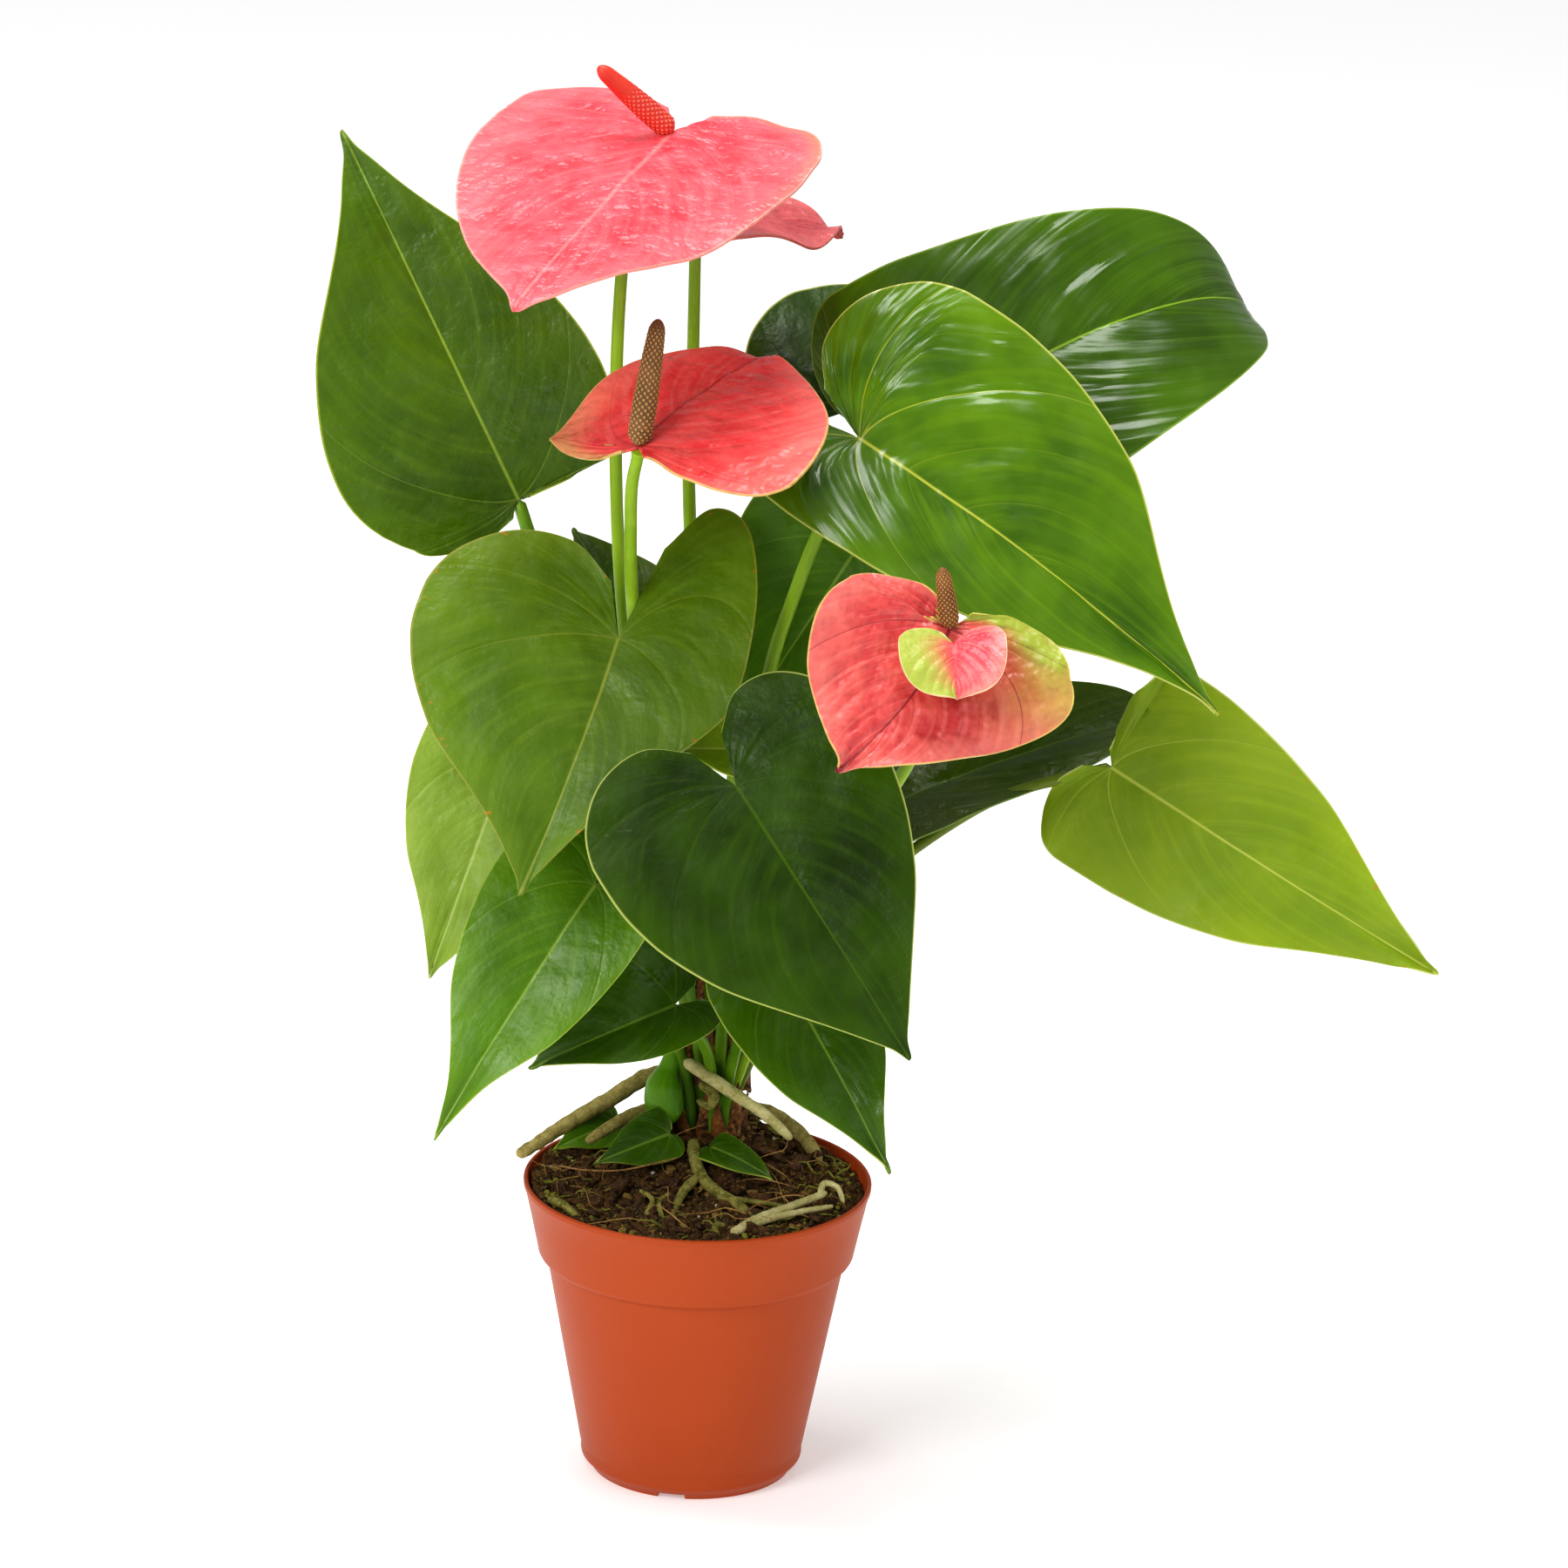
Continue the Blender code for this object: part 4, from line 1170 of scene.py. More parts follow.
@dataclass
class Pot:
    """The thin nursery pot: one turned shell with a rolled lip, drainage holes and foot notches."""

    steps: int = 144
    hole_count: int = 8
    hole_radius: float = 3.2 * MM
    hole_ring: float = 19.5 * MM
    notch_count: int = 4
    notch_width: float = 8.4 * MM
    notch_height: float = 1.8 * MM
    notch_start: float = -100.0
    plastic: MouldedPlastic = MouldedPlastic()

    def profile(self) -> list[Pair]:
        """The wall's section as (radius, height) points, down the outside and up the inside.

        Returns:
            The points, in metres.
        """
        band_foot = POT_HEIGHT - BAND_HEIGHT
        band_low = RIM_RADIUS - BAND_DRAFT
        neck = band_low - BAND_STEP
        floor_top = FOOT_HEIGHT + WALL
        lip = arc(RIM_RADIUS - LIP_ROUND, POT_HEIGHT - LIP_ROUND, LIP_ROUND, pi / 2, 0, 5)
        shoulder = arc(band_low - BAND_ROUND, band_foot + 3.4 * MM, BAND_ROUND, 0, -pi / 2.4, 5)
        corner = arc(BASE_RADIUS - CORNER_ROUND, FOOT_HEIGHT + 2.0 * MM, CORNER_ROUND, 0, -pi / 2.6, 4)
        outside = [
            *lip, (RIM_RADIUS - 0.1 * MM, POT_HEIGHT - 1.9 * MM),
            (RIM_RADIUS - 0.45 * MM, POT_HEIGHT - 2.3 * MM),
            (RIM_RADIUS - 2.4 * MM, POT_HEIGHT - 11 * MM), *shoulder,
            (neck + 0.15 * MM, band_foot + 0.5 * MM),
            (neck, band_foot - 0.5 * MM), (BASE_RADIUS + 0.35 * MM, CORNER_HEIGHT + 0.5 * MM),
            (BASE_RADIUS + 0.1 * MM, CORNER_HEIGHT), (BASE_RADIUS, CORNER_HEIGHT - 0.5 * MM), *corner,
            (FOOT_RADIUS + 0.3 * MM, 0.6 * MM), (FOOT_RADIUS, 0), (FOOT_RADIUS - FOOT_WIDTH, 0),
            (FOOT_RADIUS - FOOT_WIDTH - 0.4 * MM, FOOT_HEIGHT), (HUB_RADIUS + 0.6 * MM, FOOT_HEIGHT),
            (HUB_RADIUS, 0), (0, 0)]
        inside = [
            (0, floor_top), (BASE_RADIUS - WALL - 2.5 * MM, floor_top),
            (BASE_RADIUS - WALL - 0.2 * MM, CORNER_HEIGHT + 0.5 * MM),
            (neck - WALL, band_foot + 0.4 * MM),
            (band_low - 0.9 * MM - WALL, band_foot + 2.9 * MM),
            (band_low + 0.3 * MM - WALL, band_foot + SHOULDER_TOP),
            (RIM_RADIUS - WALL, POT_HEIGHT - 1.0 * MM),
            (RIM_RADIUS - WALL + 0.3 * MM, POT_HEIGHT - 0.2 * MM)]
        return outside + inside

    def build(self) -> None:
        """Turns the wall's section about the axis and cuts the openings of the underside."""
        section = self.profile()
        section.append(section[0])
        deselect()
        bpy.ops.mesh.primitive_plane_add(size=1, location=(0, 0, 0))
        piece = named("nursery_pot")
        bpy.ops.object.mode_set(mode="EDIT")
        bpy.ops.mesh.select_all(action="SELECT")
        bpy.ops.mesh.merge(type="CENTER")
        here = Vector((section[0][0], 0, section[0][1]))
        bpy.ops.transform.translate(value=here)
        for radius, height in section[1:]:
            there = Vector((radius, 0, height))
            bpy.ops.mesh.extrude_region_move(TRANSFORM_OT_translate={"value": there - here})
            here = there
        bpy.ops.mesh.select_all(action="SELECT")
        bpy.ops.mesh.spin(steps=self.steps, angle=2 * pi, center=(0, 0, 0), axis=(0, 0, 1))
        bpy.ops.mesh.select_all(action="SELECT")
        bpy.ops.mesh.remove_doubles(threshold=0.02 * MM)
        bpy.ops.mesh.normals_make_consistent(inside=False)
        bpy.ops.object.mode_set(mode="OBJECT")
        self.cut(piece)
        dress(piece, self.plastic.material(), 35, Slot.POT, "pot")

    def cut(self, piece: bpy.types.Object) -> None:
        """Cuts the drainage holes and the notches of the foot ring.

        Args:
            piece: the turned shell, which is changed.
        """
        cutters = []
        for i in range(self.hole_count):
            turn = 2 * pi * (i + 0.5) / self.hole_count
            deselect()
            bpy.ops.mesh.primitive_cylinder_add(
                vertices=32, radius=self.hole_radius, depth=16 * MM,
                location=(self.hole_ring * cos(turn), self.hole_ring * sin(turn), 0))
            cutters.append(named("hole_cutter"))
        for i in range(self.notch_count):
            turn = radians(self.notch_start + 360 * i / self.notch_count)
            deselect()
            bpy.ops.mesh.primitive_cube_add(
                size=1, location=(FOOT_RADIUS * cos(turn), FOOT_RADIUS * sin(turn), 0),
                rotation=(0, 0, turn), scale=(5 * FOOT_WIDTH, self.notch_width, 2 * self.notch_height))
            cutters.append(named("notch_cutter"))
        for cutter in cutters:
            cutting = piece.modifiers.new("cut", "BOOLEAN")
            cutting.operation = "DIFFERENCE"
            cutting.object = cutter
        apply_all(piece)
        for cutter in cutters:
            bpy.data.objects.remove(cutter, do_unlink=True)


# --------------------------------------------------------------------------------------- soil


def soil_height(x: float, y: float) -> float:
    """The height of the soil's smooth surface at a place, in metres.

    Args:
        x: the place across, in metres.
        y: the place in depth, in metres.

    Returns:
        The height, in metres.
    """
    off = sqrt((x - CROWN_X) ** 2 + (y - CROWN_Y) ** 2)
    edge_radius = inner_radius(POT_HEIGHT - SOIL_DROP)
    rim = max(0.0, 1 - (sqrt(x * x + y * y) / edge_radius) ** 6)
    return POT_HEIGHT - SOIL_DROP + MOUND * exp(-((off / MOUND_SPREAD) ** 2)) * rim


def soil_top(x: float, y: float) -> float:
    """The height of the filled-up soil, which lies higher than the pressed soil under it.

    Args:
        x: the place across, in metres.
        y: the place in depth, in metres.

    Returns:
        The height, in metres.
    """
    edge_radius = inner_radius(POT_HEIGHT - SOIL_DROP)
    share = min(1.0, sqrt(x * x + y * y) / edge_radius)
    fill = 1.2 * MM * (1 + 1.5 * share ** 4)
    return soil_height(x, y) + fill - 2.4 * MM * max(0.0, x / edge_radius) ** 3


class Template(Enum):
    """The small shapes that the litter on the soil is made of."""

    CHIP = "chip"
    CRUMB = "crumb"
    STRAND = "strand"
    FIBRE = "fibre"


@dataclass
class Litter:
    """Many copies of a small shape, strewn over the soil as one piece.

    size is the least and the greatest length in mm. flat says how flat the copies lie, from 0 to
    1. reach is how far out they lie, as a share of the soil's radius, and inner how far out they
    start, as a share of that.
    """

    name: str
    template: Template
    count: int
    size: Pair
    finish: GrainFinish
    flat: float = 0.6
    reach: float = 0.94
    inner: float = 0.0
    seed: int = 1

    def shape(self) -> tuple[np.ndarray, list[tuple[int, ...]]]:
        """Models the small shape once, about 1 long, and returns its corners and faces.

        Returns:
            Its corners, n by 3, and for each face the numbers of its corners.
        """
        deselect()
        if self.template is Template.CHIP:
            bpy.ops.mesh.primitive_cube_add(size=1, location=(0, 0, 0))
            piece = named("chip")
            bpy.ops.object.mode_set(mode="EDIT")
            bpy.ops.mesh.select_all(action="SELECT")
            bpy.ops.mesh.bevel(offset=0.18, segments=1)
            bpy.ops.object.mode_set(mode="OBJECT")
            stretch = np.array([1.0, 0.6, 0.35])
        elif self.template is Template.CRUMB:
            bpy.ops.mesh.primitive_ico_sphere_add(subdivisions=2, radius=0.5, location=(0, 0, 0))
            piece = named("crumb")
            stretch = np.array([1.0, 0.8, 0.7])
        else:
            bends = ((-0.5, 0, 0), (-0.2, 0.12, 0.05), (0.2, -0.1, 0.1), (0.5, 0.05, 0))
            knots = [np.array(p, float) for p in bends]
            thick = 0.011 if self.template is Template.FIBRE else 0.06
            piece = Rod(knots, thick, ((0, 0.6), (0.4, 1), (1, 0.3)), sides=5, rings=8).build("strand")
            stretch = np.array([1.0, 1.0, 1.0])
        places = corners(piece)
        if self.template in (Template.CHIP, Template.CRUMB):
            places = places * (1 + 0.35 * ripple(places, 0.45, self.seed))[:, None] * stretch
        faces = [tuple(face.vertices) for face in piece.data.polygons]
        bpy.data.objects.remove(piece, do_unlink=True)
        return places, faces

    def build(self) -> None:
        """Strews the copies, each turned and sized at random from a fixed seed."""
        places, faces = self.shape()
        draw = np.random.default_rng(self.seed)
        limit = inner_radius(POT_HEIGHT - SOIL_DROP) * self.reach
        all_places, all_faces = [], []
        while len(all_places) < self.count:
            x, y = draw.uniform(-limit, limit, 2)
            if not (self.inner * limit) ** 2 <= x * x + y * y <= limit * limit:
                continue
            size = draw.uniform(*self.size) * MM
            along = Vector(draw.normal(size=3))
            up = Vector((draw.normal() * (1 - self.flat), draw.normal() * (1 - self.flat), 1))
            turn = turning(along, up)
            local = places * size @ np.array(turn).T
            base = len(all_places) * len(places)
            lift = draw.uniform(-0.1, 0.35) * size
            all_places.append(local + np.array([x, y, soil_top(x, y) + lift]))
            all_faces.extend(tuple(base + i for i in face) for face in faces)
        mesh = bpy.data.meshes.new(self.name)
        mesh.from_pydata(np.vstack(all_places), [], all_faces)
        piece = bpy.data.objects.new(self.name, mesh)
        bpy.context.scene.collection.objects.link(piece)
        dress(piece, self.finish.material(), 40, Slot.SOIL)


@dataclass
class Soil:
    """Peat and bark that fill the pot, heaped towards the crown, with litter on top."""

    cells: int = 190
    lump_height: float = 2.3 * MM
    lump_size: float = 6.5 * MM
    litter: tuple[Litter, ...] = (
        Litter("soil_bark_chips", Template.CHIP, 240, (2.0, 6.5), BARK_CHIP, seed=11),
        Litter("soil_pale_chips", Template.CHIP, 170, (1.0, 3.6), PALE_CHIP, seed=17),
        Litter("soil_crumbs", Template.CRUMB, 700, (0.8, 3.2), PEAT, seed=12),
        Litter("soil_perlite", Template.CRUMB, 34, (0.6, 1.5), PERLITE, seed=13),
        Litter("soil_fibres", Template.FIBRE, 60, (8, 20), FIBRE, seed=14),
        Litter("soil_moss", Template.STRAND, 110, (3, 8), MOSS, seed=15, reach=0.98, inner=0.6),
        Litter("soil_moss_tufts", Template.CRUMB, 120, (0.8, 2.4), MOSS, seed=16, reach=0.98, inner=0.8),
    )

    def build(self) -> None:
        """Models the lumpy top from a grid, extrudes it down inside the pot and strews the litter."""
        deselect()
        bpy.ops.mesh.primitive_grid_add(
            x_subdivisions=self.cells, y_subdivisions=self.cells, size=2, location=(0, 0, 0))
        piece = named("soil_body")
        start = corners(piece)
        edge_radius = inner_radius(POT_HEIGHT - SOIL_DROP) - 0.1 * MM
        u, v = start[:, 0], start[:, 1]
        x = u * np.sqrt(1 - v * v / 2) * edge_radius
        y = v * np.sqrt(1 - u * u / 2) * edge_radius
        top = np.array([soil_top(px, py) for px, py in zip(x, y)])
        places = np.stack([x, y, top], 1)
        lumps = ripple(places, self.lump_size, 3) + 0.55 * ripple(places, self.lump_size / 2.6, 5)
        lumps += 0.35 * ripple(places, self.lump_size / 6, 8)
        places[:, 2] += self.lump_height * lumps
        place_corners(piece, places)
        count = len(places)
        bpy.ops.object.mode_set(mode="EDIT")
        bpy.ops.mesh.select_mode(type="EDGE")
        bpy.ops.mesh.select_all(action="DESELECT")
        bpy.ops.mesh.select_non_manifold()
        band_foot = POT_HEIGHT - BAND_HEIGHT
        floor = FOOT_HEIGHT + WALL + 0.3 * MM
        levels = (band_foot + SHOULDER_TOP, band_foot, CORNER_HEIGHT, floor)
        for _ in levels:
            bpy.ops.mesh.extrude_edges_move(TRANSFORM_OT_translate={"value": (0, 0, -10 * MM)})
        bpy.ops.mesh.edge_face_add()
        bpy.ops.object.mode_set(mode="OBJECT")
        places = corners(piece)
        ring = (len(places) - count) // len(levels)
        for i, height in enumerate(levels):
            part = places[count + i * ring:count + (i + 1) * ring]
            radius = inner_radius(height) - SOIL_GAP
            if height == floor:
                radius = min(radius, BASE_RADIUS - WALL - SOIL_FOOT_INSET)
            part[:, :2] *= (radius / np.linalg.norm(part[:, :2], axis=1))[:, None]
            part[:, 2] = height
        place_corners(piece, places)
        dress(piece, PEAT.material(), 60, Slot.SOIL, "soil")
        for layer in self.litter:
            layer.build()


# -------------------------------------------------------------------------------------- plant


@dataclass
class Leaf:
    """One leaf: a blade on its petiole, which comes out of the crown or, if basal, of the soil."""

    name: str
    blade: Blade
    root: Pair
    via: tuple[Place, ...] = ()
    finish: BladeFinish = SATIN_GREEN
    stem: StemFinish = PETIOLE_GREEN
    basal: bool = False
    radius: float = 1.85

    def path(self) -> list[np.ndarray]:
        """The places that the petiole passes through, from under the soil to the blade.

        Returns:
            The places, in metres.
        """
        knots = out_of_crown(self.root)
        if self.basal:
            foot = crown_place((*self.root, 0))
            foot[2] = soil_height(foot[0], foot[1]) - 2 * MM
            knots = [foot]
        back = self.radius * 0.8 + self.blade.thickness / 2
        end = self.blade.start - self.blade.normal * back * MM
        return [*knots, *(crown_place(p) for p in self.via), end]

    def build(self) -> None:
        """Models and dresses the blade and the petiole."""
        piece = self.blade.build("blade_" + self.name, self.finish)
        lime = self.finish in (LIME_GREEN, YOUNG_LIME)
        settle(piece, Slot.LIME if lime else Slot.LEAF, "leaf_" + self.name)
        radius = 1.0 if self.basal else self.radius
        swell = ((0.0, 1.25), (0.12, 1.1), (0.5, 0.95), (0.88, 0.9), (0.95, 1.12), (1.0, 1.05))
        stem = Rod(self.path(), radius * MM, swell, round_ends=(False, True)).build("stem_" + self.name)
        dress(stem, self.stem.material(), 60, Slot.PETIOLE, "petiole_" + self.name)


LEAVES = (
    Leaf("upper_left", Blade((-62, 21, 190), (-117, 43, 296), (0.1, -1, 0.2), (43, 51), (0.5, 7),
         arch=10, trim=0.32, pinch=0.25), root=(-7, 2), via=((-38, 6, 120),), finish=SATIN_GREEN),
    Leaf("front_left", Blade((-30, -35, 164), (-56, -77, 99), (-0.1, -1, 0.5), (59, 39), (26, 50),
         sway=4, pinch=0.25, slim=0.32), root=(-2.3, -6), via=((-14, -18, 90),), finish=WORN_GREEN),
    Leaf("front_middle", Blade((6, -71, 131.5), (58, -103, 61), (0.1, -1, 0.45), (49, 42), (24, 25),
         fold=6, pinch=0.1), root=(2.3, -6), via=((4, -24, 60), (5, -50, 108)), finish=DARK_GREEN),
    Leaf("upper_right", Blade((39, -17, 222), (146, -47, 150), (-0.1, -0.65, 0.8), (36, 56), (46, 27),
         arch=22, fold=14, quilt=0.35, pinch=0.4), root=(4.5, -2), via=((12, -10, 130), (22, -15, 176)),
         finish=BRIGHT_GREEN, stem=STALK_LIME, radius=2.2),
    Leaf("back_middle", Blade((43, 58, 213), (82, 100, 229), (-0.1, -0.9, 0.8), (30, 44), (14, 27),
         arch=16), root=(4.5, 6), via=((22, 32, 110),), finish=DARK_GREEN),
    Leaf("top_right", Blade((52, 32, 212), (156, 80, 239.5), (-0.1, -0.8, 0.6), (48, 48), (16, 16),
         arch=16, hook=80, fold=6, quilt=0.3, outline=BLUNT_OUTLINE), root=(9, 6),
         via=((30, 22, 112), (42, 34, 168)), finish=QUILTED_GREEN),
    Leaf("far_right", Blade((117, -10, 121), (215, -37, 68), (-0.1, -1, 0.2), (32, 37), (12, 5),
         arch=10, fold=6, pinch=0.15, wave=2.2, waves=3.5, uneven=1.2), root=(9, -2),
         via=((34, -2, 66), (78, -6, 106)), finish=LIME_GREEN, stem=STALK_OLIVE),
    Leaf("right_behind", Blade((48, -4, 104), (134, 22, 128), (0, -0.45, 1), (20, 33), (12, 14),
         fold=10, outline=BLUNT_OUTLINE), root=(7, 2), via=((26, 4, 66),), finish=PAINTED_SHADE_GREEN),
    Leaf("middle_behind", Blade((40, 3, 184), (6, 2, 127), (0, -1, 0.3), (34, 34), (14, 14)),
         root=(2.3, 2), via=((22, 14, 100),), finish=FRESH_GREEN),
    Leaf("small_behind", Blade((-24, 34, 141), (-46, 46, 174), (0.1, -1, 0.3), (20, 20), (12, 12),
         fold=10), root=(-4.5, 6), via=((-14, 16, 80),), finish=PAINTED_SHADE_GREEN),
    Leaf("lower_left", Blade((-61, -17, 122), (-84, -37, 58), (-0.2, -1, 0.3), (27, 34), (18, 20),
         pinch=0.25), root=(-9, -2), via=((-34, -4, 84),), finish=PALE_GREEN),
    Leaf("low_left", Blade((-35, -47, 92), (-80, -77, 22), (-0.2, -1, 0.4), (28, 22), (18, 14),
         arch=20, fold=10, pinch=0.45), root=(-7, -6), via=((-16, -12, 50), (-24, -20, 80)),
         finish=FRESH_GREEN),
    Leaf("low_left_behind", Blade((-49, -4, 82), (-71, -8, 57), (-0.2, -1, 0.4), (14, 16), (10, 10)),
         root=(-11, 2), via=((-28, 6, 54),), finish=PAINTED_SHADE_GREEN),
    Leaf("low_middle", Blade((-11, -32, 50), (-53, -54, 37), (0, -1, 0.5), (30, 13), (14, 14),
         arch=18, pinch=0.1), root=(0.5, -10), via=((-2, -22, 34),), finish=DEEP_GREEN),
    Leaf("low_right", Blade((20, -37, 64), (54, -67, 12), (0.2, -1, 0.5), (24, 22), (12, 12),
         arch=18, fold=10, pinch=0.3), root=(5, -10), via=((10, -24, 42),), finish=DEEP_GREEN),
    Leaf("young", Blade((6, -24, 127.5), (-17, -42, 133), (0, -0.75, 1), (13, 13), (6, 6), fold=14),
         root=(0, -2), via=((2, -6, 60),), finish=YOUNG_LIME, stem=STALK_LIME),
    Leaf("basal_front", Blade((-12, -19, 4), (-34, -27, -3), (0, -1, 0.7), (9, 8), (2, 3), rows=40,
         columns=12, wave=0.4, uneven=0.3, pinch=0.3), root=(-12, -16), finish=DEEP_GREEN, basal=True),
    Leaf("basal_left", Blade((-29, 0, 0), (-47, -14, -4), (0, -1, 0.8), (9, 7), (3, 3), rows=40,
         columns=12, wave=0.4, uneven=0.3, pinch=0.3), root=(-25, 4), finish=FRESH_GREEN, basal=True),
    Leaf("basal_right", Blade((1, -21, 1), (20, -35, -4), (0, -0.4, 1), (7, 7), (2, 2), rows=40,
         columns=12, wave=0.4, uneven=0.3, arch=20), root=(1, -17), finish=DEEP_GREEN, basal=True),
)


@dataclass
class Spike:
    """The spadix: a tapering fleshy spike, closely set with small flowers in crossing spirals.

    rise leads from its foot to its tip, in mm. around is the number of spirals each way, bump how
    far each flower stands out, as a share of the radius, and smooth_tip where along the spike the
    flowers start and finish fading out.
    """

    rise: Place
    finish: SpikeFinish
    slot: Slot
    radius: float = 3.4
    around: int = 11
    bump: float = 0.16
    smooth_tip: Pair = (0.85, 1.1)

    def build(self, name: str, foot: np.ndarray) -> bpy.types.Object:
        """Models the spike from its foot, with a bump for each small flower.

        Args:
            name: the piece's name.
            foot: where it starts, in metres.

        Returns:
            The finished object.
        """
        rise = np.array(self.rise, float) * MM
        knots = [foot + rise * share for share in (0, 0.5, 1)]
        swell = ((0, 0.72), (0.08, 0.96), (0.35, 1.0), (0.7, 0.84), (0.92, 0.68), (1.0, 0.6))
        length = float(np.linalg.norm(rise))
        pitch = 2 * pi * self.radius * MM / self.around
        rows = max(8, round(length / pitch))
        rod = Rod(knots, self.radius * MM, swell, sides=6 * self.around, rings=5 * rows,
                  round_ends=(True, True))
        piece = rod.build(name)
        places = corners(piece)
        share = np.clip((places - foot) @ rise / length ** 2, 0, 1)
        axis = foot + share[:, None] * rise
        out = places - axis
        reach = np.linalg.norm(out, axis=1)
        side = np.cross(rise / length, FLAT_SIDE)
        side /= np.linalg.norm(side)
        turn = np.arctan2(out @ np.cross(rise / length, side), out @ side)
        high = pi * rows * share
        dots = np.abs(np.cos(self.around * turn / 2 + high) * np.cos(self.around * turn / 2 - high))
        bare = 1 - smoothstep(share, *self.smooth_tip)
        grown = 1 + self.bump * (dots ** 0.6 - 0.5) * bare * (reach > 0.5 * MM)
        place_corners(piece, axis + out * grown[:, None])
        vertex_values(piece, "floret", dots * bare)
        piece.data.materials.append(self.finish.spike())
        smooth(piece, 80)
        return piece


@dataclass
class Flower:
    """One open flower: a stalk, the coloured bract on top of it and the spike that it holds."""

    name: str
    blade: Blade
    root: Pair
    via: tuple[Place, ...]
    spike: Spike
    finish: BladeFinish
    stem: StemFinish = STALK_LIME
    radius: float = 2.05

    def build(self) -> None:
        """Models and dresses the bract, the stalk and the spike."""
        piece = self.blade.build("bract_" + self.name, self.finish)
        settle(piece, Slot.SPATHE, "spathe_" + self.name)
        end = self.blade.start - self.blade.normal * (self.radius * 0.5) * MM
        knots = [*out_of_crown(self.root), *(crown_place(p) for p in self.via), end]
        swell = ((0.0, 1.2), (0.12, 1.05), (0.5, 0.95), (0.96, 0.86), (1.0, 1.1))
        rod = Rod(knots, self.radius * MM, swell, rings=80, round_ends=(False, True))
        stalk = rod.build("scape_" + self.name)
        dress(stalk, self.stem.material(), 60, Slot.STALK, "stalk_" + self.name)
        foot = self.blade.start + self.blade.normal * 0.5 * MM
        spike = self.spike.build("spike_" + self.name, foot)
        settle(spike, self.spike.slot, "spadix_" + self.name)


def bract(*places: Place | Pair, **shape: float | tuple) -> Blade:
    """A flower bract's blade: thicker than a leaf's, wavier, with its own outline."""
    usual = {"outline": SPATHE_OUTLINE, "thickness": 0.8, "wave": 1.4, "quilt": 0.3}
    return Blade(*places, **{**usual, **shape})


FLOWERS = (
    Flower("top", bract((-18, 3, 307), (-60, -89, 277), (-0.1, -0.35, 1), (54, 47), (23, 24),
                        arch=8, fold=-4, uneven=1.3, spread=0.32),
           root=(-2.3, 2), via=((-29, 5, 154), (-32, 11, 267)), finish=CORAL,
           spike=Spike((-22, -5, 20), RED_SPIKE, Slot.RED_SPIKE, smooth_tip=(0.5, 0.8))),
    Flower("back", bract((-11, 33, 276), (33, 54, 266.5), (0, -0.14, 1), (28, 32), (18, 18),
                         arch=10, fold=5, wave=2.4),
           root=(0, 6), via=((-11, 25, 190), (-11, 31, 237)), finish=DUSTY_CORAL,
           spike=Spike((-3, 3, 19), BROWN_SPIKE, Slot.BROWN_SPIKE)),
    Flower("middle", bract((-25, -47, 226), (12, 11, 239), (-0.1, -0.35, 1), (52, 32), (9, 6),
                           arch=24, fold=4, droop=17, uneven=1.3),
           root=(-4.5, -2), via=((-24, -20, 150), (-27, -38, 204)), finish=RED_CORAL,
           spike=Spike((5, 5, 36.5), BROWN_SPIKE, Slot.BROWN_SPIKE, bump=0.26)),
    Flower("right", bract((66, -77, 183), (35, -103, 148), (0.1, -1, 0.5), (38, 43), (8, 11),
                          arch=10, fold=4, trim=0.14, sway=15, pinch=0.1, slim=0.08, uneven=1.4,
                          wave=2.0),
           root=(7, -6), via=((30, -24, 80), (58, -56, 140)), finish=VEINED_CORAL,
           spike=Spike((-3, 0, 18), GOLD_SPIKE, Slot.BROWN_SPIKE, radius=2.7, bump=0.26)),
)
SMALL_BRACT = bract((67, -87, 181), (68, -99, 169.5), (0, -1, 0.6), (15.5, 14.5), (5, 5), arch=26,
                    fold=22, rows=60, columns=18, wave=0.6, outline=SMALL_OUTLINE)


@dataclass
class Root:
    """A root that lies over the soil: a fleshy one, a thin one or a hair-like fibre."""

    name: str
    places: tuple[Place, ...]
    radius: float
    finish: GrainFinish = ROOT_SKIN

    def build(self) -> None:
        """Models and dresses the root."""
        knots = [crown_place(p) for p in self.places]
        swell = ((0.0, 1.0), (0.35, 1.02), (0.6, 0.9), (0.9, 0.75), (1.0, 0.6))
        rod = Rod(knots, self.radius * MM, swell, sides=18, rings=70, round_ends=(True, True))
        piece = rod.build("aerial_" + self.name)
        roughen(piece, 0.12 * self.radius * MM, 1.1 * self.radius * MM, len(self.name))
        nodes = ["root_" + self.name] if self in ROOTS else []
        dress(piece, self.finish.material(), 80, Slot.ROOT, *nodes)


ROOTS = (
    Root("long", ((-8, 4, 15), (-19, 4, 14), (-30, 0, 8), (-43, -7, 2), (-52, -13, -2.5),
                  (-58, -16, -5.5)), 2.5),
    Root("stub", ((-12, -5, 8), (-24.8, -12, 6.4), (-37.1, -18, 0.4)), 2.2),
    Root("pointed", ((-8, -14, 26), (3.9, -18, 19.5), (17.2, -21, 11.5), (25, -22, 4.5)), 1.9, PALE_ROOT),
    Root("forked", ((-5, -18, 2), (-3, -28, -3), (1, -36, -6), (9, -44, -8), (14, -52, -9.5)), 1.9,
         MOSSY_ROOT),
    Root("branch", ((-2, -31, -4), (-7, -38, -7), (-10, -50, -10)), 1.5, MOSSY_ROOT),
    Root("pale", ((8, -64, -10), (15, -57, -8), (26, -47, -7), (36, -38, -6)), 1.5, PALE_ROOT),
)
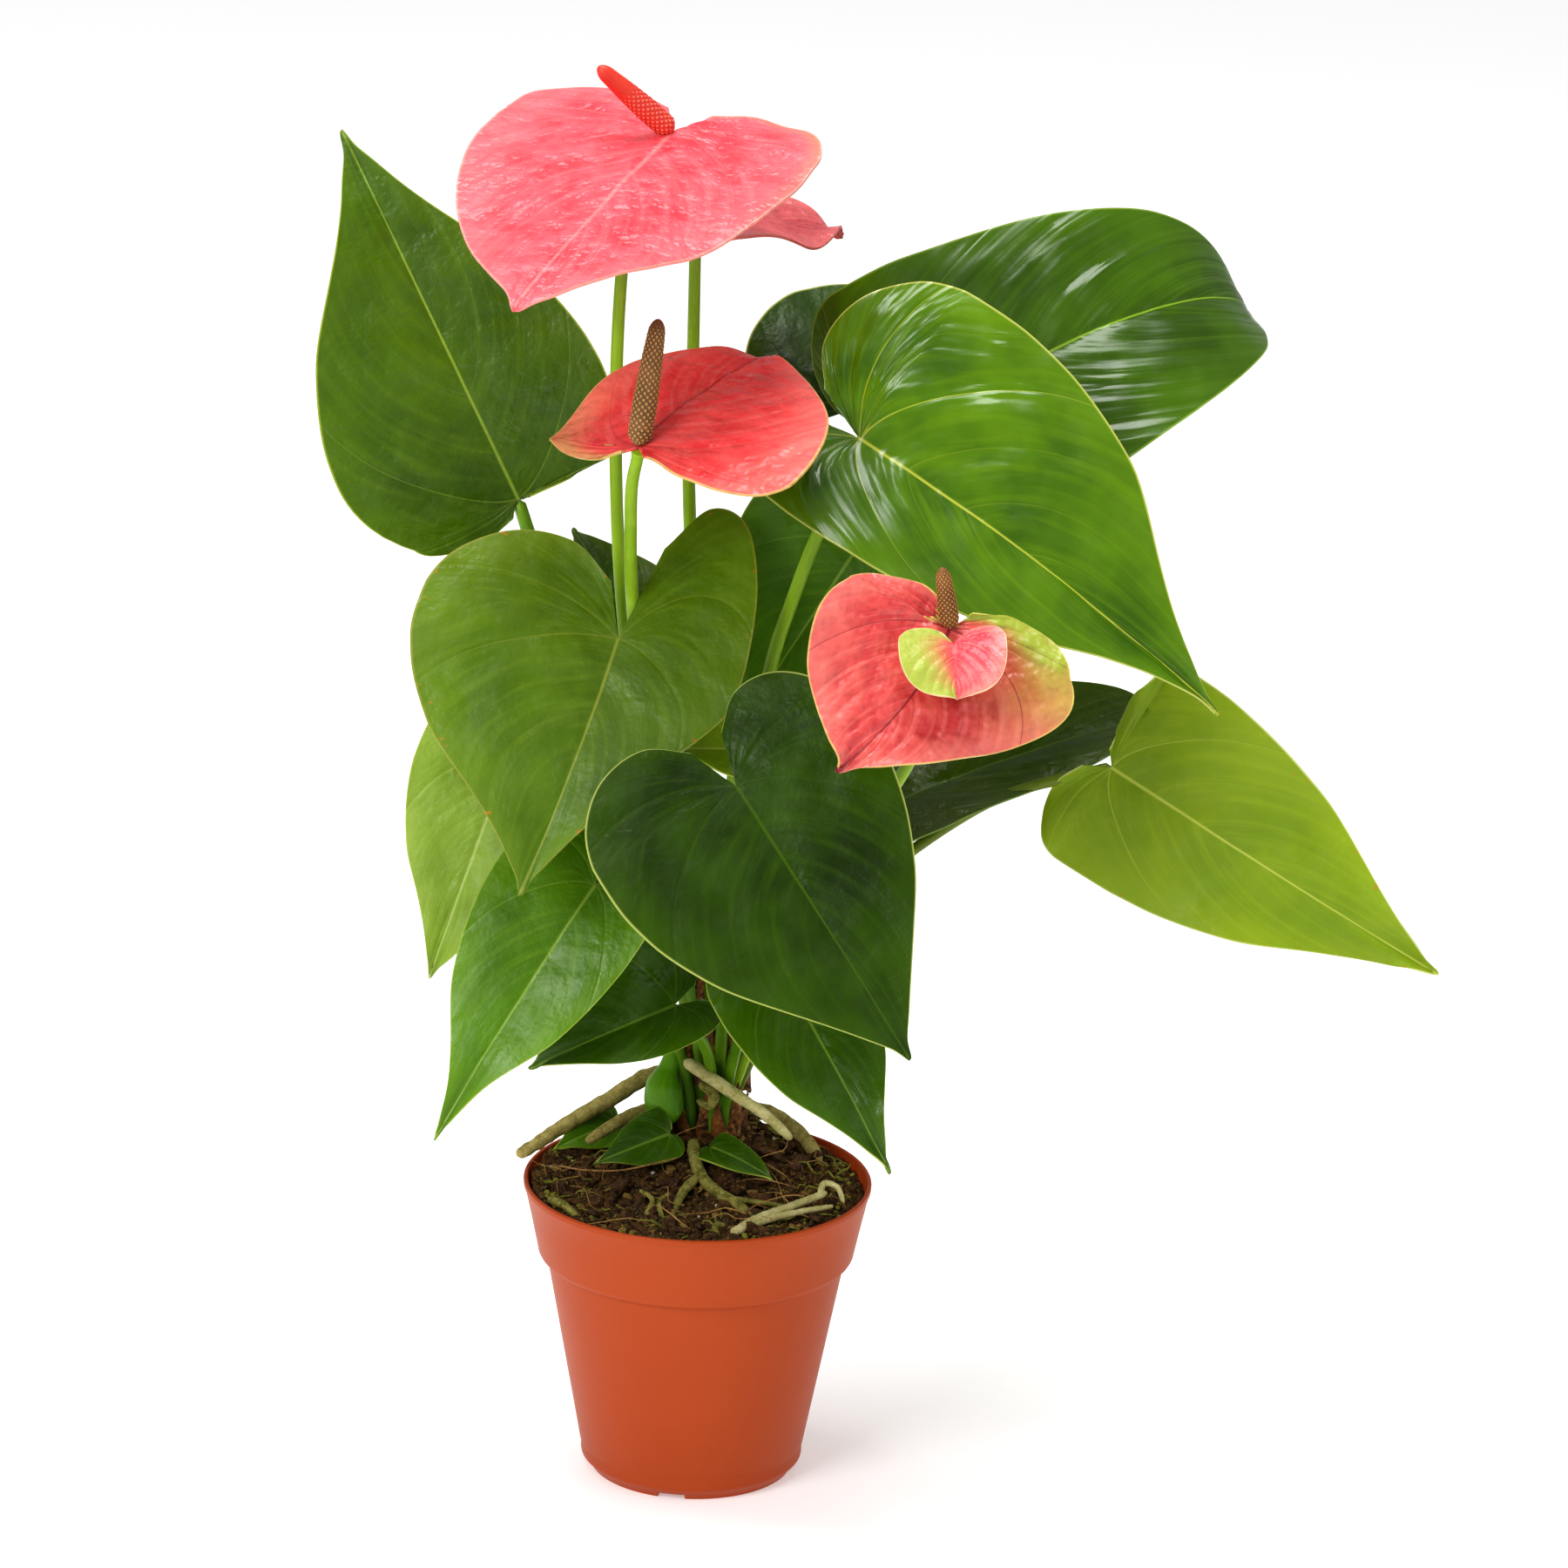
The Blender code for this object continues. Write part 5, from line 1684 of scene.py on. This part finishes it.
ROOTLETS = (
    Root("pale_fork", ((12, -60, -9), (24, -52, -8), (38, -44, -8)), 1.1, PALE_ROOT),
    Root("pale_loop", ((34, -40, -6), (35, -36, -4), (39, -36, -5), (41, -41, -8)), 1.0, PALE_ROOT),
    Root("knot", ((-3, -16, 20), (1, -18, 17), (0, -17, 13), (-4, -16, 14)), 1.7, MOSSY_ROOT),
    Root("cross", ((3, -42, -7), (12, -44, -7), (24, -45, -8)), 0.9, MOSSY_ROOT),
    Root("back_heap", ((8, 14, -1), (17, 10, 1), (28, 2, -3), (34, -6, -9)), 2.6),
    Root("left_heap", ((-14, 12, 2), (-26, 12, -3), (-38, 6, -9)), 2.0),
    Root("tuft_left", ((-18, -49, -11), (-16, -46, -7), (-20, -44, -4.5)), 0.9, MOSSY_ROOT),
    Root("tuft_right", ((-13, -50, -11), (-14, -47, -7), (-11, -45, -5)), 0.8, MOSSY_ROOT),
    Root("hair", ((-45, -18, -7.5), (-37, -25, -6), (-25, -29, -4), (-9, -24, -1.5)), 0.3, FIBRE),
    Root("rim_moss", ((4, -66, -11), (3, -64, -7.5), (6, -62, -8)), 0.9, MOSSY_ROOT),
    Root("mossy_left", ((-47, -42, -9), (-42, -50, -8), (-36, -56, -11)), 1.3, MOSSY_ROOT),
)


@dataclass
class Sheath:
    """A dry papery sheath: a pointed open half tube round the foot of a stalk.

    at is its foot from the crown point, height, radius and lean are in mm too, and turn and spread
    are the way it faces and how far round it reaches each way, in degrees.
    """

    at: Place
    height: float
    radius: float
    turn: float
    lean: Pair = (0.0, 0.0)
    spread: float = 70.0

    def build(self, name: str) -> bpy.types.Object:
        """Models the sheath from a grid, rolled round the stalk and drawn to a point.

        Args:
            name: the object's name.

        Returns:
            The object, without a material.
        """
        deselect()
        bpy.ops.mesh.primitive_grid_add(x_subdivisions=14, y_subdivisions=20, size=2, location=(0, 0, 0))
        piece = named(name)
        start = corners(piece)
        up = (start[:, 1] + 1) / 2
        narrow = (1 - up ** 1.6) * 0.95 + 0.05
        angle = radians(self.turn) + start[:, 0] * radians(self.spread) * narrow
        radius = self.radius * (1 - 0.25 * up + 0.25 * up ** 3)
        x = radius * np.cos(angle) + self.lean[0] * up ** 2
        y = radius * np.sin(angle) + self.lean[1] * up ** 2
        z = self.height * up + 0.6 * np.sin(5 * start[:, 0] + self.turn)
        place_corners(piece, crown_place(self.at) + np.stack([x, y, z], 1) * MM)
        roughen(piece, 0.35 * MM, 3 * MM, self.turn)
        skin = piece.modifiers.new("paper", "SOLIDIFY")
        skin.thickness = 0.25 * MM
        apply_all(piece)
        return piece


@dataclass
class CrownStem:
    """The short knobbly stem, with dry sheaths, a swollen green shoot and root knobs."""

    knobs: tuple[tuple[Place, float], ...] = (
        ((0, 0, 1), 6.5), ((-8, -3, 0), 5.0), ((7, -3, -1), 4.5), ((1, -8, -2), 4.0),
        ((4, 6, 1), 6.5), ((-6, 5, 1), 6.0), ((-13, -6, -1), 4.5),
    )
    sheaths: tuple[Sheath, ...] = (
        Sheath((-2, -8, 0), 15, 2.9, -70), Sheath((3, -9, -1), 12, 3.0, -100),
        Sheath((7, -7, 0), 17, 2.8, -60), Sheath((0, -4, 4), 22, 3.0, -110, (0.5, -0.5)),
        Sheath((9, -2, -1), 13, 2.8, -30), Sheath((-7, -7, -1), 10, 3.0, -120),
        Sheath((-11, -1, -1), 12, 3.0, -160), Sheath((5, 4, 2), 26, 3.0, 60),
        Sheath((-4, 6, 2), 22, 3.2, 110), Sheath((6, -11, -2), 9, 2.6, -80),
        Sheath((2, -3, 12), 26, 2.6, -95), Sheath((-3, -6, 16), 24, 2.4, -80),
        Sheath((6, -6, 14), 28, 2.4, -70), Sheath((-7, -5, 24), 26, 2.2, -100),
        Sheath((10, 0, 12), 24, 2.4, -60), Sheath((0, -9, 22), 30, 2.0, -90, (0.5, -1)),
        Sheath((4, -7, 36), 26, 2.0, -100), Sheath((-4, -9, 38), 22, 2.0, -80, (-1, -1)),
    )
    shoot: Rod = field(default_factory=lambda: Rod(
        [crown_place(p) for p in (
            (-11, -8, 4), (-13.5, -9, 9), (-14, -8.5, 16), (-12, -7, 24), (-10, -5, 34))],
        5.6 * MM, ((0, 0.7), (0.15, 1.0), (0.35, 1.08), (0.5, 0.98), (0.66, 0.55), (1, 0.25)),
        round_ends=(True, True)))

    def build(self) -> None:
        """Models and dresses the knobbly stem, its sheaths and its shoot."""
        parts = []
        for i, (place, radius) in enumerate(self.knobs):
            deselect()
            bpy.ops.mesh.primitive_uv_sphere_add(
                segments=32, ring_count=20, radius=radius * MM, location=crown_place(place))
            knob = named(f"knob_{i}")
            bpy.ops.object.transform_apply(location=True, rotation=False, scale=False)
            roughen(knob, 0.9 * MM, 4 * MM, i)
            parts.append(knob)
        stem = self.join(parts, "crown_knobs", CROWN_BARK)
        settle(stem, Slot.BARK, "crown_stem")
        dry = [sheath.build(f"sheath_{i}") for i, sheath in enumerate(self.sheaths)]
        settle(self.join(dry, "dry_sheaths", HUSK), Slot.BARK)
        shoot = self.shoot.build("green_shoot")
        dress(shoot, BASE_GREEN.material(), 70, Slot.PETIOLE)

    def join(self, parts: list[bpy.types.Object], name: str, finish: GrainFinish) -> bpy.types.Object:
        """Joins parts into one dressed piece.

        Args:
            parts: the objects to join.
            name: the piece's name.
            finish: its look.

        Returns:
            The joined object.
        """
        pick(parts[0])
        for part in parts:
            part.select_set(True)
        bpy.ops.object.join()
        piece = named(name)
        piece.data.materials.clear()
        piece.data.materials.append(finish.material())
        smooth(piece, 70)
        return piece


# -------------------------------------------------------------------------------------- studio


@dataclass
class Studio:
    """A plain pale floor, soft lights and the camera."""

    aim: Place = (0.0227, 0.0, 0.2174)
    distance: float = 2.2
    pitch: float = 18.0
    roll: float = 1.6
    lens: float = 170.54
    floor_size: float = 30.0

    def build(self) -> None:
        """Sets the stage."""
        bpy.context.scene.view_settings.view_transform = "Standard"
        bpy.context.scene.view_settings.look = "Medium High Contrast"
        self.floor()
        self.light("key_softbox", (-1.5, -1.9, 1.7), 1.2, 36)
        self.light("top_softbox", (-0.15, 0.05, 1.9), 0.9, 24)
        self.light("right_fill", (1.9, -1.2, 0.9), 1.6, 7)
        world = bpy.data.worlds.new("studio_white")
        bpy.context.scene.world = world
        world.use_nodes = True
        background = world.node_tree.nodes["Background"]
        background.inputs[0].default_value = (1.0, 1.0, 1.0, 1.0)
        background.inputs[1].default_value = 0.4
        self.camera()

    def floor(self) -> None:
        """A pale matt floor that fills the view."""
        deselect()
        bpy.ops.mesh.primitive_plane_add(size=self.floor_size, location=(0, 0, -0.05 * MM))
        floor = named("floor")
        made, tree, shader = new_material("pale_matt_paper", 0.9)
        shader.inputs["Base Color"].default_value = (0.85, 0.85, 0.85, 1.0)
        shader.inputs["Emission Color"].default_value = (1.0, 1.0, 1.0, 1.0)
        shader.inputs["Emission Strength"].default_value = 0.3
        floor.data.materials.append(made)

    def light(self, name: str, place: Place, size: float, power: float) -> None:
        """Adds a square softbox that looks at the plant.

        Args:
            name: the light's name.
            place: where it hangs, in metres.
            size: its side, in metres.
            power: its power, in watts.
        """
        lamp = bpy.data.lights.new(name, "AREA")
        lamp.shape = "SQUARE"
        lamp.size = size
        lamp.energy = power
        holder = bpy.data.objects.new(name, lamp)
        bpy.context.scene.collection.objects.link(holder)
        holder.location = place
        holder.rotation_euler = (Vector(self.aim) - Vector(place)).to_track_quat("-Z", "Y").to_euler()

    def camera(self) -> None:
        """Places the camera on the line that looks down at the plant from the front."""
        forward = Vector((0, cos(radians(self.pitch)), -sin(radians(self.pitch))))
        right = Vector((1, 0, 0))
        up = right.cross(forward)
        roll = radians(self.roll)
        across = right * cos(roll) + up * sin(roll)
        high = up * cos(roll) - right * sin(roll)
        data = bpy.data.cameras.new("camera")
        data.lens = self.lens
        data.sensor_width = 36.0
        camera = bpy.data.objects.new("camera", data)
        bpy.context.scene.collection.objects.link(camera)
        turn = Matrix((across, high, -forward)).transposed().to_4x4()
        camera.matrix_world = Matrix.Translation(Vector(self.aim) - forward * self.distance) @ turn
        bpy.context.scene.camera = camera


def main() -> None:
    """Builds the studio and every piece in order."""
    Studio().build()
    Pot().build()
    Soil().build()
    CrownStem().build()
    for root in (*ROOTS, *ROOTLETS):
        root.build()
    for leaf in LEAVES:
        leaf.build()
    for flower in FLOWERS:
        flower.build()
    small = SMALL_BRACT.build("bract_small", SMALL_CORAL)
    settle(small, Slot.SPATHE, "small_spathe")
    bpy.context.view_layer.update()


if __name__ == "__main__":
    main()
